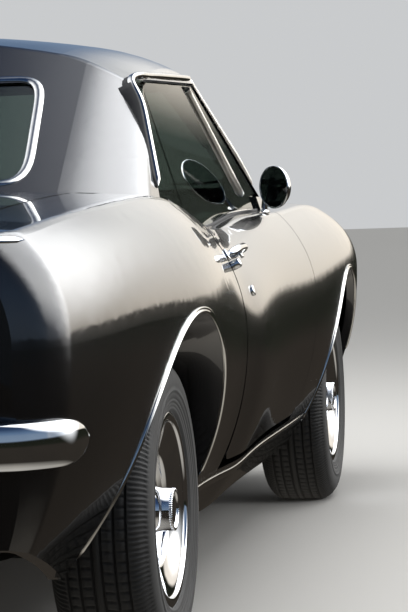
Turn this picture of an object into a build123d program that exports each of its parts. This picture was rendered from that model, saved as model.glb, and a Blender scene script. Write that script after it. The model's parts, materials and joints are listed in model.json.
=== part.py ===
from build123d import *
import math
import os
from collections import namedtuple

# Two-door hardtop coupe of the late 1960s, full size, millimetres.
# It is modelled with the rear axle at X = 0, forward +X, left +Y, up +Z and the road at Z = 0.
# At the end every piece moves so that X = 0 lies midway between nose and tail.

# Driving dimensions
wheelbase = 2746
front_overhang = 932
rear_overhang = 1013
track = 1496
roof_height = 1336
shut_gap = 6
seat_gap = 0.3

# Wheels and tyres
tyre_radius = 307
tyre_width = 205
rim_radius = 196
rim_width = 184
drum_radius = 122
kingpin_inset = 90
arch_radius = 382
arch_centre_z = 314
wheelhouse_radius = 404
wheelhouse_wall_y = 455

# Body heights and shut lines, from the rear axle
sill_bottom_z = 200
sill_top_z = 312
floor_z = 232
floor_thickness = 18
skin = 26
door_rear_x = 680
door_front_x = 1930
door_inner_y = 690
door_taper = 12
bumper_depth = 58

front_axle_x = wheelbase
nose_x = front_axle_x + front_overhang - bumper_depth
tail_x = bumper_depth - rear_overhang
part_centre_x = (wheelbase + front_overhang - rear_overhang) / 2
wheel_y = track / 2
kingpin_y = wheel_y - kingpin_inset
cowl_x = front_axle_x - 566
firewall_x = cowl_x - 130
hood_front_x = nose_x - 100
deck_front_x = 52

Station = namedtuple("Station", "x shoulder_y shoulder_z waist_y waist_z crown_z sill_y rounding")
stations = [
    Station(tail_x - 20, 660, 866, 737, 681, 896, 565, 30),
    Station(tail_x + 10, 667, 869, 744, 682, 899, 570, 30),
    Station(tail_x + 30, 680, 870, 758, 683, 901, 583, 30),
    Station(tail_x + 42, 702, 871, 781, 683, 902, 604, 30),
    Station(tail_x + 62, 726, 873, 807, 684, 904, 627, 30),
    Station(tail_x + 90, 745, 876, 828, 685, 907, 645, 30),
    Station(tail_x + 140, 756, 880, 841, 686, 912, 653, 32),
    Station(tail_x + 260, 764, 890, 858, 690, 924, 655, 34),
    Station(-350, 780, 914, 890, 700, 944, 665, 42),
    Station(0, 788, 930, 914, 690, 956, 700, 50),
    Station(door_rear_x - 330, 790, 922, 914, 655, 958, 725, 50),
    Station(door_rear_x, 797, 874, 901, 615, 925, 735, 34),
    Station((door_rear_x + door_front_x) / 2, 803, 868, 902, 620, 925, 738, 30),
    Station(door_front_x, 806, 876, 905, 640, 938, 738, 30),
    Station(front_axle_x - 396, 804, 888, 908, 662, 944, 735, 32),
    Station(front_axle_x, 796, 888, 906, 680, 934, 725, 34),
    Station(front_axle_x + 454, 776, 862, 880, 690, 896, 705, 34),
    Station(nose_x + 60, 745, 806, 836, 694, 822, 670, 30),
]

# Plan outline of the cabin at two heights, which the pillars and glass join in straight lines
CabinLevel = namedtuple("CabinLevel", "z front_x front_side_x front_y rear_x rear_side_x rear_y corner")
cabin_low = CabinLevel(900, cowl_x + 52, cowl_x - 50, 746, 22, 78, 778, 190)
cabin_high = CabinLevel(1220, cowl_x - 548, cowl_x - 694, 652, 588, 640, 690, 130)
pillar_split_z = 1010
roof_thickness = 34
roof_crown_radius = 2900
roof_side_radius = 480
roof_flat_y = 500
roof_base_z = 100
roof_length_radius = 3400
roof_peak_x = 1180
roof_edge_radius = 42
front_corner = 110

# Where the three kinds of window are cut out of the cabin
side_window = [(door_front_x + 4, 840), (door_front_x + 4, 920), (cowl_x - 142, 920), (cowl_x - 712, 1212),
               (622, 1190), (305, 840)]
windshield_window = [(672, 948), (560, 1212)]
rear_window_outline = [(520, 972), (470, 1190)]
glass_inset = 9
glass_thickness = 6

out_dir = "parts"
os.makedirs(out_dir, exist_ok=True)
nodes = {}


def keep(name, *solids):
    """File the solids of one node under its name, in the axle frame."""
    nodes.setdefault(name, []).extend(solids)


def both_sides(shape):
    """The left piece and its mirror image on the right."""
    return [shape, mirror(shape, Plane.XZ)]


def side_prism(points, y0, y1, radius=0, above=0):
    """Side-view outline (x, z), corners over a height rounded, running across the car from y0 to y1."""
    face = make_face(Polyline(*points, close=True))
    if radius:
        face = fillet([v for v in face.vertices() if v.Y > above], radius)
    plane = Plane(origin=(0, y1, 0), x_dir=(1, 0, 0), z_dir=(0, -1, 0))
    return extrude(plane * face, y1 - y0)


def plan_prism(points, z0, z1, radius=0):
    """Top-view outline (x, y), corners rounded, running up from z0 to z1."""
    face = make_face(Polyline(*points, close=True))
    if radius:
        face = fillet(face.vertices(), radius)
    return extrude(Plane.XY.offset(z0) * face, z1 - z0)


def cross_prism(points, x0, x1, radius=0):
    """Outline across the car (y, z), corners rounded, running forward from x0 to x1."""
    face = make_face(Polyline(*points, close=True))
    if radius:
        face = fillet(face.vertices(), radius)
    return extrude(Plane.YZ.offset(x0) * face, x1 - x0)


def block(x0, x1, y0, y1, z0, z1):
    """Box between two corners."""
    return Pos((x0 + x1) / 2, (y0 + y1) / 2, (z0 + z1) / 2) * Box(abs(x1 - x0), abs(y1 - y0), abs(z1 - z0))


def cross_rod(x, z, radius, y0, y1):
    """Cylinder lying across the car."""
    return Pos(x, (y0 + y1) / 2, z) * Rot(90, 0, 0) * Cylinder(radius, abs(y1 - y0))


def arc_between(start, end, centre):
    """The short arc from start to end about a centre, in a plane."""
    radius = math.dist(start, centre)
    middle = ((start[0] + end[0]) / 2 - centre[0], (start[1] + end[1]) / 2 - centre[1])
    reach = radius / math.hypot(*middle)
    return ThreePointArc(start, (centre[0] + middle[0] * reach, centre[1] + middle[1] * reach), end)


def circles_meet(c1, r1, c2, r2):
    """The outboard one of the two points where two circles cross."""
    gap = math.dist(c1, c2)
    along = (r1**2 - r2**2 + gap**2) / (2 * gap)
    height = math.sqrt(r1**2 - along**2)
    ux, uy = (c2[0] - c1[0]) / gap, (c2[1] - c1[1]) / gap
    base = (c1[0] + along * ux, c1[1] + along * uy)
    return max((base[0] - height * uy, base[1] + height * ux), (base[0] + height * uy, base[1] - height * ux),
               key=lambda point: point[0])


def body_section(station, inset):
    """One cross-section: crowned top, rounded shoulder, arc to the waist and arc tucked to the sill."""
    shoulder = (station.shoulder_y - inset, station.shoulder_z - inset)
    waist = (station.waist_y - inset, station.waist_z)
    sill = (station.sill_y - inset, sill_bottom_z - 10)
    crown_z = station.crown_z - inset
    rise = crown_z - shoulder[1]
    crown_r = (shoulder[0]**2 + rise**2) / (2 * rise)
    side_r = math.dist(waist, shoulder)**2 / (2 * (waist[0] - shoulder[0]))
    tuck_r = math.dist(waist, sill)**2 / (2 * (waist[0] - sill[0]))
    crown_c = (0, crown_z - crown_r)
    side_c = (waist[0] - side_r, waist[1])
    tuck_c = (waist[0] - tuck_r, waist[1])
    bend = max(station.rounding - inset, 6)
    bend_c = circles_meet(crown_c, crown_r - bend, side_c, side_r - bend)
    top = tuple(c + (b - c) * crown_r / (crown_r - bend) for c, b in zip(crown_c, bend_c))
    side = tuple(c + (b - c) * side_r / (side_r - bend) for c, b in zip(side_c, bend_c))

    def right(point):
        return (-point[0], point[1])

    edges = [
        arc_between(right(top), top, crown_c),
        arc_between(top, side, bend_c),
        arc_between(side, waist, side_c),
        arc_between(waist, sill, tuck_c),
        Line(sill, right(sill)),
        arc_between(right(sill), right(waist), right(tuck_c)),
        arc_between(right(waist), right(side), right(side_c)),
        arc_between(right(side), right(top), right(bend_c)),
    ]
    return Plane.YZ.offset(station.x) * make_face(edges)


def body_hull(inset=0):
    """Lower body from nose to tail, its ends trimmed to the nose and tail in plan and side view."""
    hull = loft([body_section(station, inset) for station in stations])
    plan = plan_outline(inset)
    return hull & plan & side_profile(inset)


def plan_outline(inset):
    """Plan view of nose and tail: bowed ends with rounded corners."""
    half = 1000
    bow_nose, bow_tail, corner = 92, 36, 78
    nose, tail = nose_x - inset, tail_x + inset
    corner_y = 850 - inset
    edges = [
        ThreePointArc((nose - bow_nose, -corner_y), (nose, 0), (nose - bow_nose, corner_y)),
        Line((nose - bow_nose, corner_y), (nose - bow_nose - 420, half)),
        Line((nose - bow_nose - 420, half), (tail + bow_tail + 420, half)),
        Line((tail + bow_tail + 420, half), (tail + bow_tail, corner_y)),
        ThreePointArc((tail + bow_tail, corner_y), (tail, 0), (tail + bow_tail, -corner_y)),
        Line((tail + bow_tail, -corner_y), (tail + bow_tail + 420, -half)),
        Line((tail + bow_tail + 420, -half), (nose - bow_nose - 420, -half)),
        Line((nose - bow_nose - 420, -half), (nose - bow_nose, -corner_y)),
    ]
    face = make_face(edges)
    ends = [v for v in face.vertices() if abs(abs(v.Y) - corner_y) < 1 and v.X > 0]
    return extrude(fillet(ends, corner), 1400)


def side_profile(inset):
    """Side view of the lower body: leaning tail and nose, an underside that rises at both ends, no floor inside."""
    nose, tail = nose_x - inset, tail_x + inset
    underside = [(-420, 236), (-300, sill_bottom_z), (front_axle_x + 300, sill_bottom_z), (nose - 150, 262)]
    if inset:
        open_z = sill_bottom_z - 20
        underside = [(tail + 80, open_z), (nose - 283, open_z)]
    points = [(tail - 40, 1000), (tail + 4, 880), (tail + 26, 640), (tail + 60, 352), *underside,
              (nose - 40, 330), (nose - 16, 560), (nose, 760), (nose + 20, 1000)]
    return side_prism(points, -1000, 1000)


def cabin_outline(z, inset):
    """Plan outline of the cabin at a height, by carrying the two levels' straight lines on."""
    share = (z - cabin_low.z) / (cabin_high.z - cabin_low.z)
    level = CabinLevel(*[low + (high - low) * share for low, high in zip(cabin_low, cabin_high)])
    front_y, rear_y = level.front_y - inset, level.rear_y - inset
    front_side, rear_side = level.front_side_x - inset, level.rear_side_x + inset
    bow = 8
    middle = ((front_side + rear_side) / 2, (front_y + rear_y) / 2 + bow)
    edges = [
        ThreePointArc((front_side, -front_y), (level.front_x - inset, 0), (front_side, front_y)),
        ThreePointArc((front_side, front_y), middle, (rear_side, rear_y)),
        ThreePointArc((rear_side, rear_y), (level.rear_x + inset, 0), (rear_side, -rear_y)),
        ThreePointArc((rear_side, -rear_y), (middle[0], -middle[1]), (front_side, -front_y)),
    ]
    face = make_face(edges)
    fronts = [v for v in face.vertices() if v.X > 1000]
    face = fillet(fronts, front_corner - inset)
    rears = [v for v in face.vertices() if v.X < 1000]
    face = fillet(rears, max(level.corner - inset, 30))
    return Plane.XY.offset(z) * face


def roof_section(x, inset):
    """Cross-section under the roof at x: a wide crown arc that bends down more tightly towards both sides."""
    fall = roof_length_radius - math.sqrt(roof_length_radius**2 - (x - roof_peak_x)**2)
    top = roof_height - inset - fall
    crown_c = (0, top - roof_crown_radius)
    lean = math.asin(roof_flat_y / roof_crown_radius)
    bend_r = roof_side_radius - inset
    start = (roof_flat_y, crown_c[1] + roof_crown_radius * math.cos(lean))
    bend_c = (roof_flat_y - bend_r * math.sin(lean), start[1] - bend_r * math.cos(lean))
    end = (bend_c[0] + bend_r, bend_c[1])
    low = (end[0], roof_base_z)

    def right(point):
        return (-point[0], point[1])

    edges = [
        arc_between(right(start), start, crown_c),
        arc_between(start, end, bend_c),
        Line(end, low),
        Line(low, right(low)),
        Line(right(low), right(end)),
        arc_between(right(end), right(start), right(bend_c)),
    ]
    return Plane.YZ.offset(x) * make_face(edges)


def cabin_shell(inset=0, edge_radius=0):
    """Solid of the cabin above the belt, under a crowned roof."""
    cabin = loft([cabin_outline(820, inset), cabin_outline(1400, inset)], ruled=True)
    steps = [roof_peak_x + offset for offset in (-1500, -900, -450, 0, 450, 900, 1500)]
    cabin = cabin & loft([roof_section(x, inset) for x in steps])
    if edge_radius:
        rim = [e for e in cabin.edges() if e.center().Z > 1150 and e.bounding_box().size.Z < 160]
        cabin = fillet(rim, edge_radius)
    return cabin


def cut_down(shape, *tools):
    """Shape with every tool taken away."""
    for tool in tools:
        shape = shape - tool
    return shape


# The lower body with its wheel arches open, and the shapes that split it into panels

hull = body_hull()
hull_inside = body_hull(skin)
cabin = cabin_shell(0, roof_edge_radius)
cabin_inside = cabin_shell(roof_thickness)


def wheel_room(x, inner_y):
    """Space for one left wheel: a roomy drum behind the skin and the round arch through it."""
    return (cross_rod(x, arch_centre_z, wheelhouse_radius, inner_y, arch_lip_y)
            + cross_rod(x, arch_centre_z, arch_radius, arch_lip_y - 1, 1000))


arch_lip_y = 800
rear_wheelhouse_y = 596
front_room = both_sides(wheel_room(front_axle_x, wheelhouse_wall_y))
rear_room = both_sides(wheel_room(0, rear_wheelhouse_y))
wheel_rooms = front_room + rear_room

hood_side_y = 708
hood_nose_y = 672
deck_side_y = 640
deck_edge_z = 796
door_top_z = 1100
shut_radius = 46
opening_y = 910


def door_outline(grow):
    """Door leaf in side view, or its opening when grown by the shut gap."""
    return [(door_rear_x - grow, sill_top_z - grow), (door_front_x + grow, sill_top_z - grow),
            (door_front_x + grow, door_top_z), (door_rear_x - grow, door_top_z)]


def door_prism(grow):
    """Left door's block, narrowing inwards so that its edges swing clear."""
    face = make_face(Polyline(*door_outline(grow), close=True))
    low = [v for v in face.vertices() if v.Y < 500]
    face = fillet(low, shut_radius + grow)
    plane = Plane(origin=(0, opening_y, 0), x_dir=(1, 0, 0), z_dir=(0, -1, 0))
    return extrude(plane * face, 300, taper=door_taper)


def hood_prism(grow):
    """Hood in plan, pulled up through the top of the nose."""
    return plan_prism([(cowl_x - grow, hood_side_y + grow), (hood_front_x + grow, hood_nose_y + grow),
                       (hood_front_x + grow, -hood_nose_y - grow), (cowl_x - grow, -hood_side_y - grow)],
                      700, 1200)


def deck_prism(grow):
    """Trunk lid in plan, down to the lower edge of its rear lip."""
    return block(tail_x - 200, deck_front_x + grow, -deck_side_y - grow, deck_side_y + grow,
                 deck_edge_z - grow, 1200)


door_leaf_prism = door_prism(0)
door_openings = both_sides(door_prism(shut_gap))
hood_opening = hood_prism(shut_gap)
deck_opening = deck_prism(shut_gap)
top_skin = hull - hull_inside

# Window openings

side_opening = side_prism(side_window, -1000, 1000, 30, pillar_split_z)


def symmetric(outline):
    """Close a half outline (y, z) over both sides."""
    return outline + [(-y, z) for y, z in reversed(outline)]


windshield_opening = cross_prism(symmetric(windshield_window), 1000, 2600, 40)
rear_opening = cross_prism(symmetric(rear_window_outline), -400, 1000, 36)
window_cuts = [side_opening, windshield_opening, rear_opening]

# Roof, with the windshield pillars and the upper ends of the rear pillars

cabin_wall = cut_down(cabin - cabin_inside, *window_cuts) - hull
above_split = block(-500, 1000, -1000, 1000, pillar_split_z, 1500)
front_half = block(1000, 2600, -1000, 1000, 600, 1500)
roof = cabin_wall & (above_split + front_half)
keep("roof", roof)

# Quarter panels: rear fenders, with the lower ends of the rear pillars

rear_pillar = cabin_wall & block(-500, 1000, 300, 1000, 600, pillar_split_z)
quarter_inner_y = 690
quarter_block = block(tail_x - 60, door_rear_x - shut_gap, 500, 1000, sill_bottom_z, 1200)
trunk_space = hull_inside & block(tail_x, 60, -1000, 1000, 0, 1200)
quarter = cut_down(hull & quarter_block, trunk_space, block(60, 900, 0, quarter_inner_y, 0, 1200),
                   block(tail_x - 100, deck_front_x + shut_gap, 0, deck_side_y + shut_gap, 0, 1200),
                   block(deck_front_x, 60, 0, deck_side_y + shut_gap, 0, 1200),
                   door_openings[0], rear_room[0],
                   block(0, 1000, 500, 1000, 0, sill_top_z))
quarter = quarter + rear_pillar
keep("quarter_panels", *both_sides(quarter))

# Deck panel between the rear window and the trunk lid, which carries on as the package shelf

shelf_end_x = 430
deck_panel = top_skin & block(deck_front_x + shut_gap, shelf_end_x, -deck_side_y - shut_gap,
                              deck_side_y + shut_gap, 700, 1200)
hinge_pads = [(-330, -270), (270, 330)]
for pad in hinge_pads:
    deck_panel = deck_panel + (block(deck_front_x + seat_gap, deck_front_x + shut_gap, *pad, 900, 940) & top_skin)
keep("deck_panel", deck_panel)

# Tail panel under the trunk lid

tail_depth = 120
tail_panel = top_skin & block(tail_x - 60, tail_x + tail_depth, -deck_side_y - shut_gap, deck_side_y + shut_gap,
                              200, deck_edge_z - shut_gap)
plate_z = 455
plate_hole_spacing = 178
plate_hole_radius = 3.5
lamp_y = (400, 610)
lamp_z = (600, 690)
lamp_hole = block(tail_x - 60, tail_x + tail_depth, *lamp_y, *lamp_z)
plate_holes = [Pos(tail_x, y, plate_z) * Rot(0, 90, 0) * Cylinder(plate_hole_radius, 400)
               for y in (-plate_hole_spacing / 2, plate_hole_spacing / 2)]
tail_panel = cut_down(tail_panel, *both_sides(lamp_hole), *plate_holes)
keep("tail_panel", tail_panel)
tail_lamp = (hull & lamp_hole) & block(tail_x, tail_x + 60, *lamp_y, *lamp_z)
keep("tail_lamps", *both_sides(tail_lamp))

# Trunk lid and hood

trunk_lid = top_skin & deck_prism(0)
keep("trunk_lid", trunk_lid)
hood = top_skin & hood_prism(0)
keep("hood", hood)

# Doors

door = cut_down(hull & door_leaf_prism, block(0, 3000, -1000, door_inner_y, 0, 1300))
for name, solid in zip(("door_left", "door_right"), both_sides(door)):
    keep(name, solid)

# Sills under the doors

arch_back_x = 200
sill = cut_down(hull & block(arch_back_x, front_axle_x - 200, 640, 1000, sill_bottom_z, sill_top_z),
                door_openings[0], front_room[0], rear_room[0])
keep("sills", *both_sides(sill))

# Floor levels: a step under the rear seat's front edge clears the axle, and a tunnel runs along the middle

floor_half = 640
tunnel_half = 128
tunnel_top_z = 428
step_x = (600, 690)
step_z = 448
bulkhead_x = 78
firewall_thickness = 16
wall = 14


def tunnel(half, top):
    """Rounded hump along the middle of the floor."""
    return cross_prism([(-half, floor_z - 60), (half, floor_z - 60), (half * 0.8, top), (-half * 0.8, top)],
                       step_x[0] + 20, firewall_x + 60, 30)


# Cowl, firewall and the pillars that carry the door hinges

cowl_rear_x = 1900
cowl_top = top_skin & block(cowl_rear_x, cowl_x - shut_gap, -hood_side_y - shut_gap, hood_side_y + shut_gap,
                            700, 1200)
cowl_top = cut_down(cowl_top, *door_openings, block(0, door_front_x + 20, -1000, 1000, 0, 1200))
firewall = block(firewall_x - firewall_thickness, firewall_x, -door_inner_y, door_inner_y, floor_z, 1200) & hull_inside
firewall = cut_down(firewall, *both_sides(block(1900, 2200, floor_half, 1000, 0, sill_top_z)),
                    tunnel(tunnel_half - wall, tunnel_top_z - wall))
hinge_post = block(door_front_x - 60, firewall_x, 640, 1000, sill_top_z, 1200) & hull_inside
hinge_post = cut_down(hinge_post, door_openings[0])
cowl = cowl_top + firewall
for post in both_sides(hinge_post):
    cowl = cowl + post
for pad in hinge_pads:
    cowl = cowl + (block(cowl_x - shut_gap, cowl_x - seat_gap, *pad, 900, 934) & top_skin)
keep("cowl", cowl)

# Front fenders, nose and valance

grille_z = (500, 732)
grille_y = 762
nose_depth = 190
valance_z = 410
fender = cut_down(top_skin & block(door_front_x - 40, nose_x + 100, 300, 1000, sill_bottom_z, 1200),
                  hood_opening, door_openings[0], front_room[0],
                  block(0, front_axle_x - 200, 0, 1000, 0, sill_top_z),
                  block(0, cowl_x, 0, hood_side_y + shut_gap, 0, 1200),
                  block(hood_front_x, nose_x + 100, 0, hood_nose_y, 0, 1200),
                  block(front_axle_x, nose_x + 100, 0, 1000, 0, valance_z),
                  block(nose_x - nose_depth, nose_x + 100, 0, grille_y, *grille_z))
fender = fender & block(door_front_x - 40, nose_x + 100, 560, 1000, sill_bottom_z, 1200)
keep("front_fenders", *both_sides(fender))
header = top_skin & block(hood_front_x + shut_gap, nose_x + 100, -hood_nose_y, hood_nose_y, grille_z[1], 1200)
valance_block = (block(front_axle_x + 300, nose_x + 100, -1000, 1000, sill_bottom_z, valance_z)
                 + block(nose_x - nose_depth, nose_x + 100, -560, 560, valance_z, grille_z[0]))
half_valance = cut_down(top_skin & valance_block, front_room[0]) & block(front_axle_x, nose_x + 100, 0, 1000, 0, 1200)
valance = half_valance + mirror(half_valance, Plane.XZ)
keep("nose_panels", header, valance)

# Glass: curved panes let into the cabin wall

glass_layer = cabin_shell(glass_inset) - cabin_shell(glass_inset + glass_thickness)
glass_split_x = door_rear_x + 4
pane_gap = 7
keep("windshield", (glass_layer & windshield_opening) - hull)
keep("rear_window", (glass_layer & rear_opening) - hull)
quarter_light = glass_layer & side_opening & block(0, glass_split_x - pane_gap, 0, 1000, 800, 1300)
keep("quarter_glass", *both_sides(cut_down(quarter_light, hull)))
pane_low_z = side_window[1][1] + pane_gap
pane_front_slope = (side_window[2][0] - side_window[3][0]) / (side_window[3][1] - side_window[2][1])
pane_window = [(door_front_x - pane_gap, side_window[0][1]), (door_front_x - pane_gap, pane_low_z),
               (side_window[2][0] - pane_gap * (2 + pane_front_slope), pane_low_z),
               (side_window[3][0] - 2, side_window[3][1] - pane_gap),
               (side_window[4][0], side_window[4][1] - pane_gap), side_window[5]]
pane_prism = side_prism(pane_window, 0, 1000, 24, pillar_split_z) & block(glass_split_x, 3000, 0, 1000, 800, 1300)
door_pane = (glass_layer & pane_prism) - hull
for name, solid in zip(("door_glass_left", "door_glass_right"), both_sides(door_pane)):
    keep(name, solid)

# Mirrors on the doors

mirror_x = 1720
mirror_y = 824
mirror_z = 942
mirror_radius = 57
mirror_depth = 46
mirror_foot_y = 792
mirror_turn = -14
head_round = Pos(mirror_x, mirror_y, mirror_z) * Rot(0, 90, mirror_turn) * Cylinder(mirror_radius, mirror_depth)
head_round = fillet(head_round.edges().sort_by(Axis.X)[-1:], 20)
mirror_arm = extrude(Plane(origin=(mirror_x + 30, mirror_foot_y, 850), z_dir=(0, 0.1, 1)) * Rectangle(52, 16), 90)
door_mirror = cut_down(head_round + mirror_arm, hull)
door_mirror = door_mirror.solids().sort_by(SortBy.VOLUME)[-1]
for name, solid in zip(("mirror_left", "mirror_right"), both_sides(door_mirror)):
    keep(name, solid)

# Chrome bumpers: slim blades that follow the ends of the car and wrap round to tapered tips

BumperPlan = namedtuple("BumperPlan", "end_x side_x side_y corner_x tip_x tip_y z0 z1 taper_x tip_z")
front_bumper_plan = BumperPlan(front_axle_x + front_overhang, nose_x - 30, 750, nose_x - 128, nose_x - 240, 848,
                               442, 522, nose_x - 215, 482)
rear_bumper_plan = BumperPlan(-rear_overhang, tail_x - 6, 770, tail_x + 92, tail_x + 194, 852,
                              487, 566, tail_x + 168, 526)


def bumper(plan):
    """Blade cut from the plan outline, tapered in side view towards both tips."""
    facing = math.copysign(1, plan.end_x - plan.corner_x)
    back_x = plan.tip_x - facing * 10
    edges = [
        ThreePointArc((plan.side_x, -plan.side_y), (plan.end_x, 0), (plan.side_x, plan.side_y)),
        Line((plan.side_x, plan.side_y), (plan.corner_x, plan.tip_y)),
        Line((plan.corner_x, plan.tip_y), (back_x, plan.tip_y)),
        Line((back_x, plan.tip_y), (back_x, -plan.tip_y)),
        Line((back_x, -plan.tip_y), (plan.corner_x, -plan.tip_y)),
        Line((plan.corner_x, -plan.tip_y), (plan.side_x, -plan.side_y)),
    ]
    face = make_face(edges)
    corners = [v for v in face.vertices() if abs(v.X - back_x) > 1]
    face = fillet(corners, 60)
    blade = extrude(Plane.XY.offset(plan.z0) * face, plan.z1 - plan.z0)
    long_edges = [e for e in blade.edges() if abs(e.bounding_box().size.Z) < 1 and e.center().X * facing
                  > (back_x + facing * 2) * facing]
    blade = fillet(long_edges, 20)
    nose_side = plan.end_x + facing * 50
    taper = side_prism([(nose_side, plan.z0), (plan.taper_x, plan.z0), (plan.tip_x, plan.tip_z - 22),
                        (plan.tip_x, plan.tip_z + 22), (plan.taper_x, plan.z1), (nose_side, plan.z1)],
                       -1000, 1000)
    blade = blade & taper
    inner = hull + block(min(back_x, plan.side_x - facing * 60), max(back_x, plan.side_x - facing * 60),
                         -700, 700, plan.z0 - 10, plan.z1 + 10)
    return cut_down(blade, inner).solids().sort_by(SortBy.VOLUME)[-1]


keep("front_bumper", bumper(front_bumper_plan))
keep("rear_bumper", bumper(rear_bumper_plan))

# Grille, an egg crate behind a bright frame, with round headlamps at its ends

grille_bar = 6
cell_pitch = 38
cell_rows = 5
cell_columns = 22
lamp_radius = 89
headlamp_y = 608
headlamp_z = (grille_z[0] + grille_z[1]) / 2
grille_front = body_hull(34)
grille_slab = (grille_front - body_hull(52)) & block(nose_x - nose_depth, nose_x, -grille_y, grille_y, *grille_z)
row_pitch = (grille_z[1] - grille_z[0] - 2 * grille_bar) / cell_rows
cells = [block(nose_x - 300, nose_x + 20, (column - cell_columns / 2) * cell_pitch + grille_bar / 2,
               (column + 1 - cell_columns / 2) * cell_pitch - grille_bar / 2,
               grille_z[0] + grille_bar + row * row_pitch + grille_bar / 2,
               grille_z[0] + grille_bar + (row + 1) * row_pitch - grille_bar / 2)
         for column in range(cell_columns) for row in range(cell_rows)]
lamp_cuts = [Pos(nose_x - 100, side * headlamp_y, headlamp_z) * Rot(0, 90, 0) * Cylinder(lamp_radius + seat_gap, 400)
             for side in (1, -1)]
surround_width = 12
surround = (hull - body_hull(52)) & block(nose_x - nose_depth, nose_x, -grille_y, grille_y, *grille_z)
surround = surround - block(nose_x - 300, nose_x + 20, surround_width - grille_y, grille_y - surround_width,
                            grille_z[0] + surround_width, grille_z[1] - surround_width)
grille = cut_down(grille_slab, Compound(children=cells), *lamp_cuts) + surround
keep("grille", grille.solids().sort_by(SortBy.VOLUME)[-1])
lamp_face_x = nose_x - 96
dome_radius = 200
lamp_front = (Rot(0, 90, 0) * Cylinder(lamp_radius, 100)) & (Pos(22 - dome_radius, 0, 0) * Sphere(dome_radius))
keep("headlamps", *both_sides(Pos(lamp_face_x, headlamp_y, headlamp_z) * lamp_front))

# Floor with its tunnel and the step over the rear axle, rear wheelhouses and seat bulkhead

floor_line = [(firewall_x - firewall_thickness, 470), (firewall_x - 150, floor_z), (step_x[1], floor_z), (step_x[0], step_z),
              (-330, step_z), (-420, 420), (tail_x + 60, 420)]
floor_back = [(x, z + floor_thickness) for x, z in reversed(floor_line)]
floor = side_prism(floor_line + floor_back, -floor_half, floor_half)
floor = floor & (block(step_x[0], 3000, -floor_half, floor_half, 0, 900)
                 + block(tail_x, step_x[0], -rear_wheelhouse_y + 8, rear_wheelhouse_y - 8, 0, 900)) & hull_inside


floor_x_span = block(step_x[0] + 50, firewall_x - firewall_thickness, -400, 400, floor_z, 700)
hump = (tunnel(tunnel_half, tunnel_top_z) - tunnel(tunnel_half - wall, tunnel_top_z - wall)) & floor_x_span
floor = (floor - tunnel(tunnel_half - wall, tunnel_top_z - wall)) + hump
wheelhouse_shell = (cross_rod(0, arch_centre_z, wheelhouse_radius + 8, rear_wheelhouse_y - 8, arch_lip_y)
                    - cross_rod(0, arch_centre_z, wheelhouse_radius, rear_wheelhouse_y, arch_lip_y + 10))
wheelhouse_shell = cut_down(wheelhouse_shell & hull_inside & block(-500, 500, 0, 1000, 420, 1000), quarter)
bulkhead = block(bulkhead_x - 16, bulkhead_x, -rear_wheelhouse_y + 8, rear_wheelhouse_y - 8, step_z + 4, 900)
bulkhead = cut_down(bulkhead & hull_inside, deck_panel)
floor = floor + bulkhead
for shell in both_sides(wheelhouse_shell):
    floor = floor + shell
keep("floor_pan", floor)

# Inner fenders beside the engine, each with its wheelhouse

inner_fender_front_x = front_axle_x + 600
apron = block(firewall_x, inner_fender_front_x, wheelhouse_wall_y - 14, wheelhouse_wall_y - 2, 340, 820) & hull_inside
apron = apron - block(front_axle_x - 170, front_axle_x + 170, 0, 1000, 0, 640)
liner = (cross_rod(front_axle_x, arch_centre_z, wheelhouse_radius + 8, wheelhouse_wall_y - 8, arch_lip_y)
         - cross_rod(front_axle_x, arch_centre_z, wheelhouse_radius, wheelhouse_wall_y - 20, arch_lip_y + 10))
liner = liner & hull_inside & block(2000, 3400, 0, 1000, arch_centre_z + 60, 1000)
keep("inner_fenders", *both_sides(apron + liner))

# Engine with its gearbox, radiator, exhaust, fuel tank

rail_top_z = 278
engine_x = (front_axle_x - 420, front_axle_x + 250)
engine = block(*engine_x, -255, 255, 300, 760)
gearbox = cross_prism([(-96, 262), (96, 262), (76, 400), (-76, 400)], 1480, engine_x[0])
engine = engine + gearbox
for y in (-285, 285):
    engine = engine + block(front_axle_x - 190, front_axle_x - 130, y - 50, y + 50, rail_top_z, 300)
keep("engine", engine)
radiator_x = engine_x[1] + 260
radiator = block(radiator_x, radiator_x + 55, -330, 330, 330, 760)
support = block(radiator_x + 55, radiator_x + 70, -wheelhouse_wall_y + 20, wheelhouse_wall_y - 20, rail_top_z, 780)
keep("radiator", radiator + (support - block(0, 9000, -290, 290, 370, 700)))
tank = fillet(block(tail_x + 160, tail_x + 520, -370, 370, 250, 400).edges(), 22)
for strap_y in (-180, 180):
    tank = tank + block(tail_x + 200, tail_x + 480, strap_y - 20, strap_y + 20, 390, 420)
keep("fuel_tank", tank)
pipe_radius = 24
pipe_z = 190
pipe_path = FilletPolyline((engine_x[0] + 200, 285, 330), (engine_x[0] - 80, 285, 330), (engine_x[0] - 260, 225, pipe_z),
                           (400, 225, pipe_z), (240, 300, 392), (-150, 300, 392), (-330, 440, 300),
                           (tail_x + 20, 440, 286), radius=55)
pipe = sweep((pipe_path ^ 0) * Circle(pipe_radius), path=pipe_path)
muffler = Pos(1000, 225, pipe_z) * Rot(0, 90, 0) * Cylinder(40, 460)
pipe_hanger = block(985, 1015, 215, 235, pipe_z + 30, floor_z)
keep("exhaust", *both_sides(pipe + muffler + pipe_hanger))

# Front subframe with control arms

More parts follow.
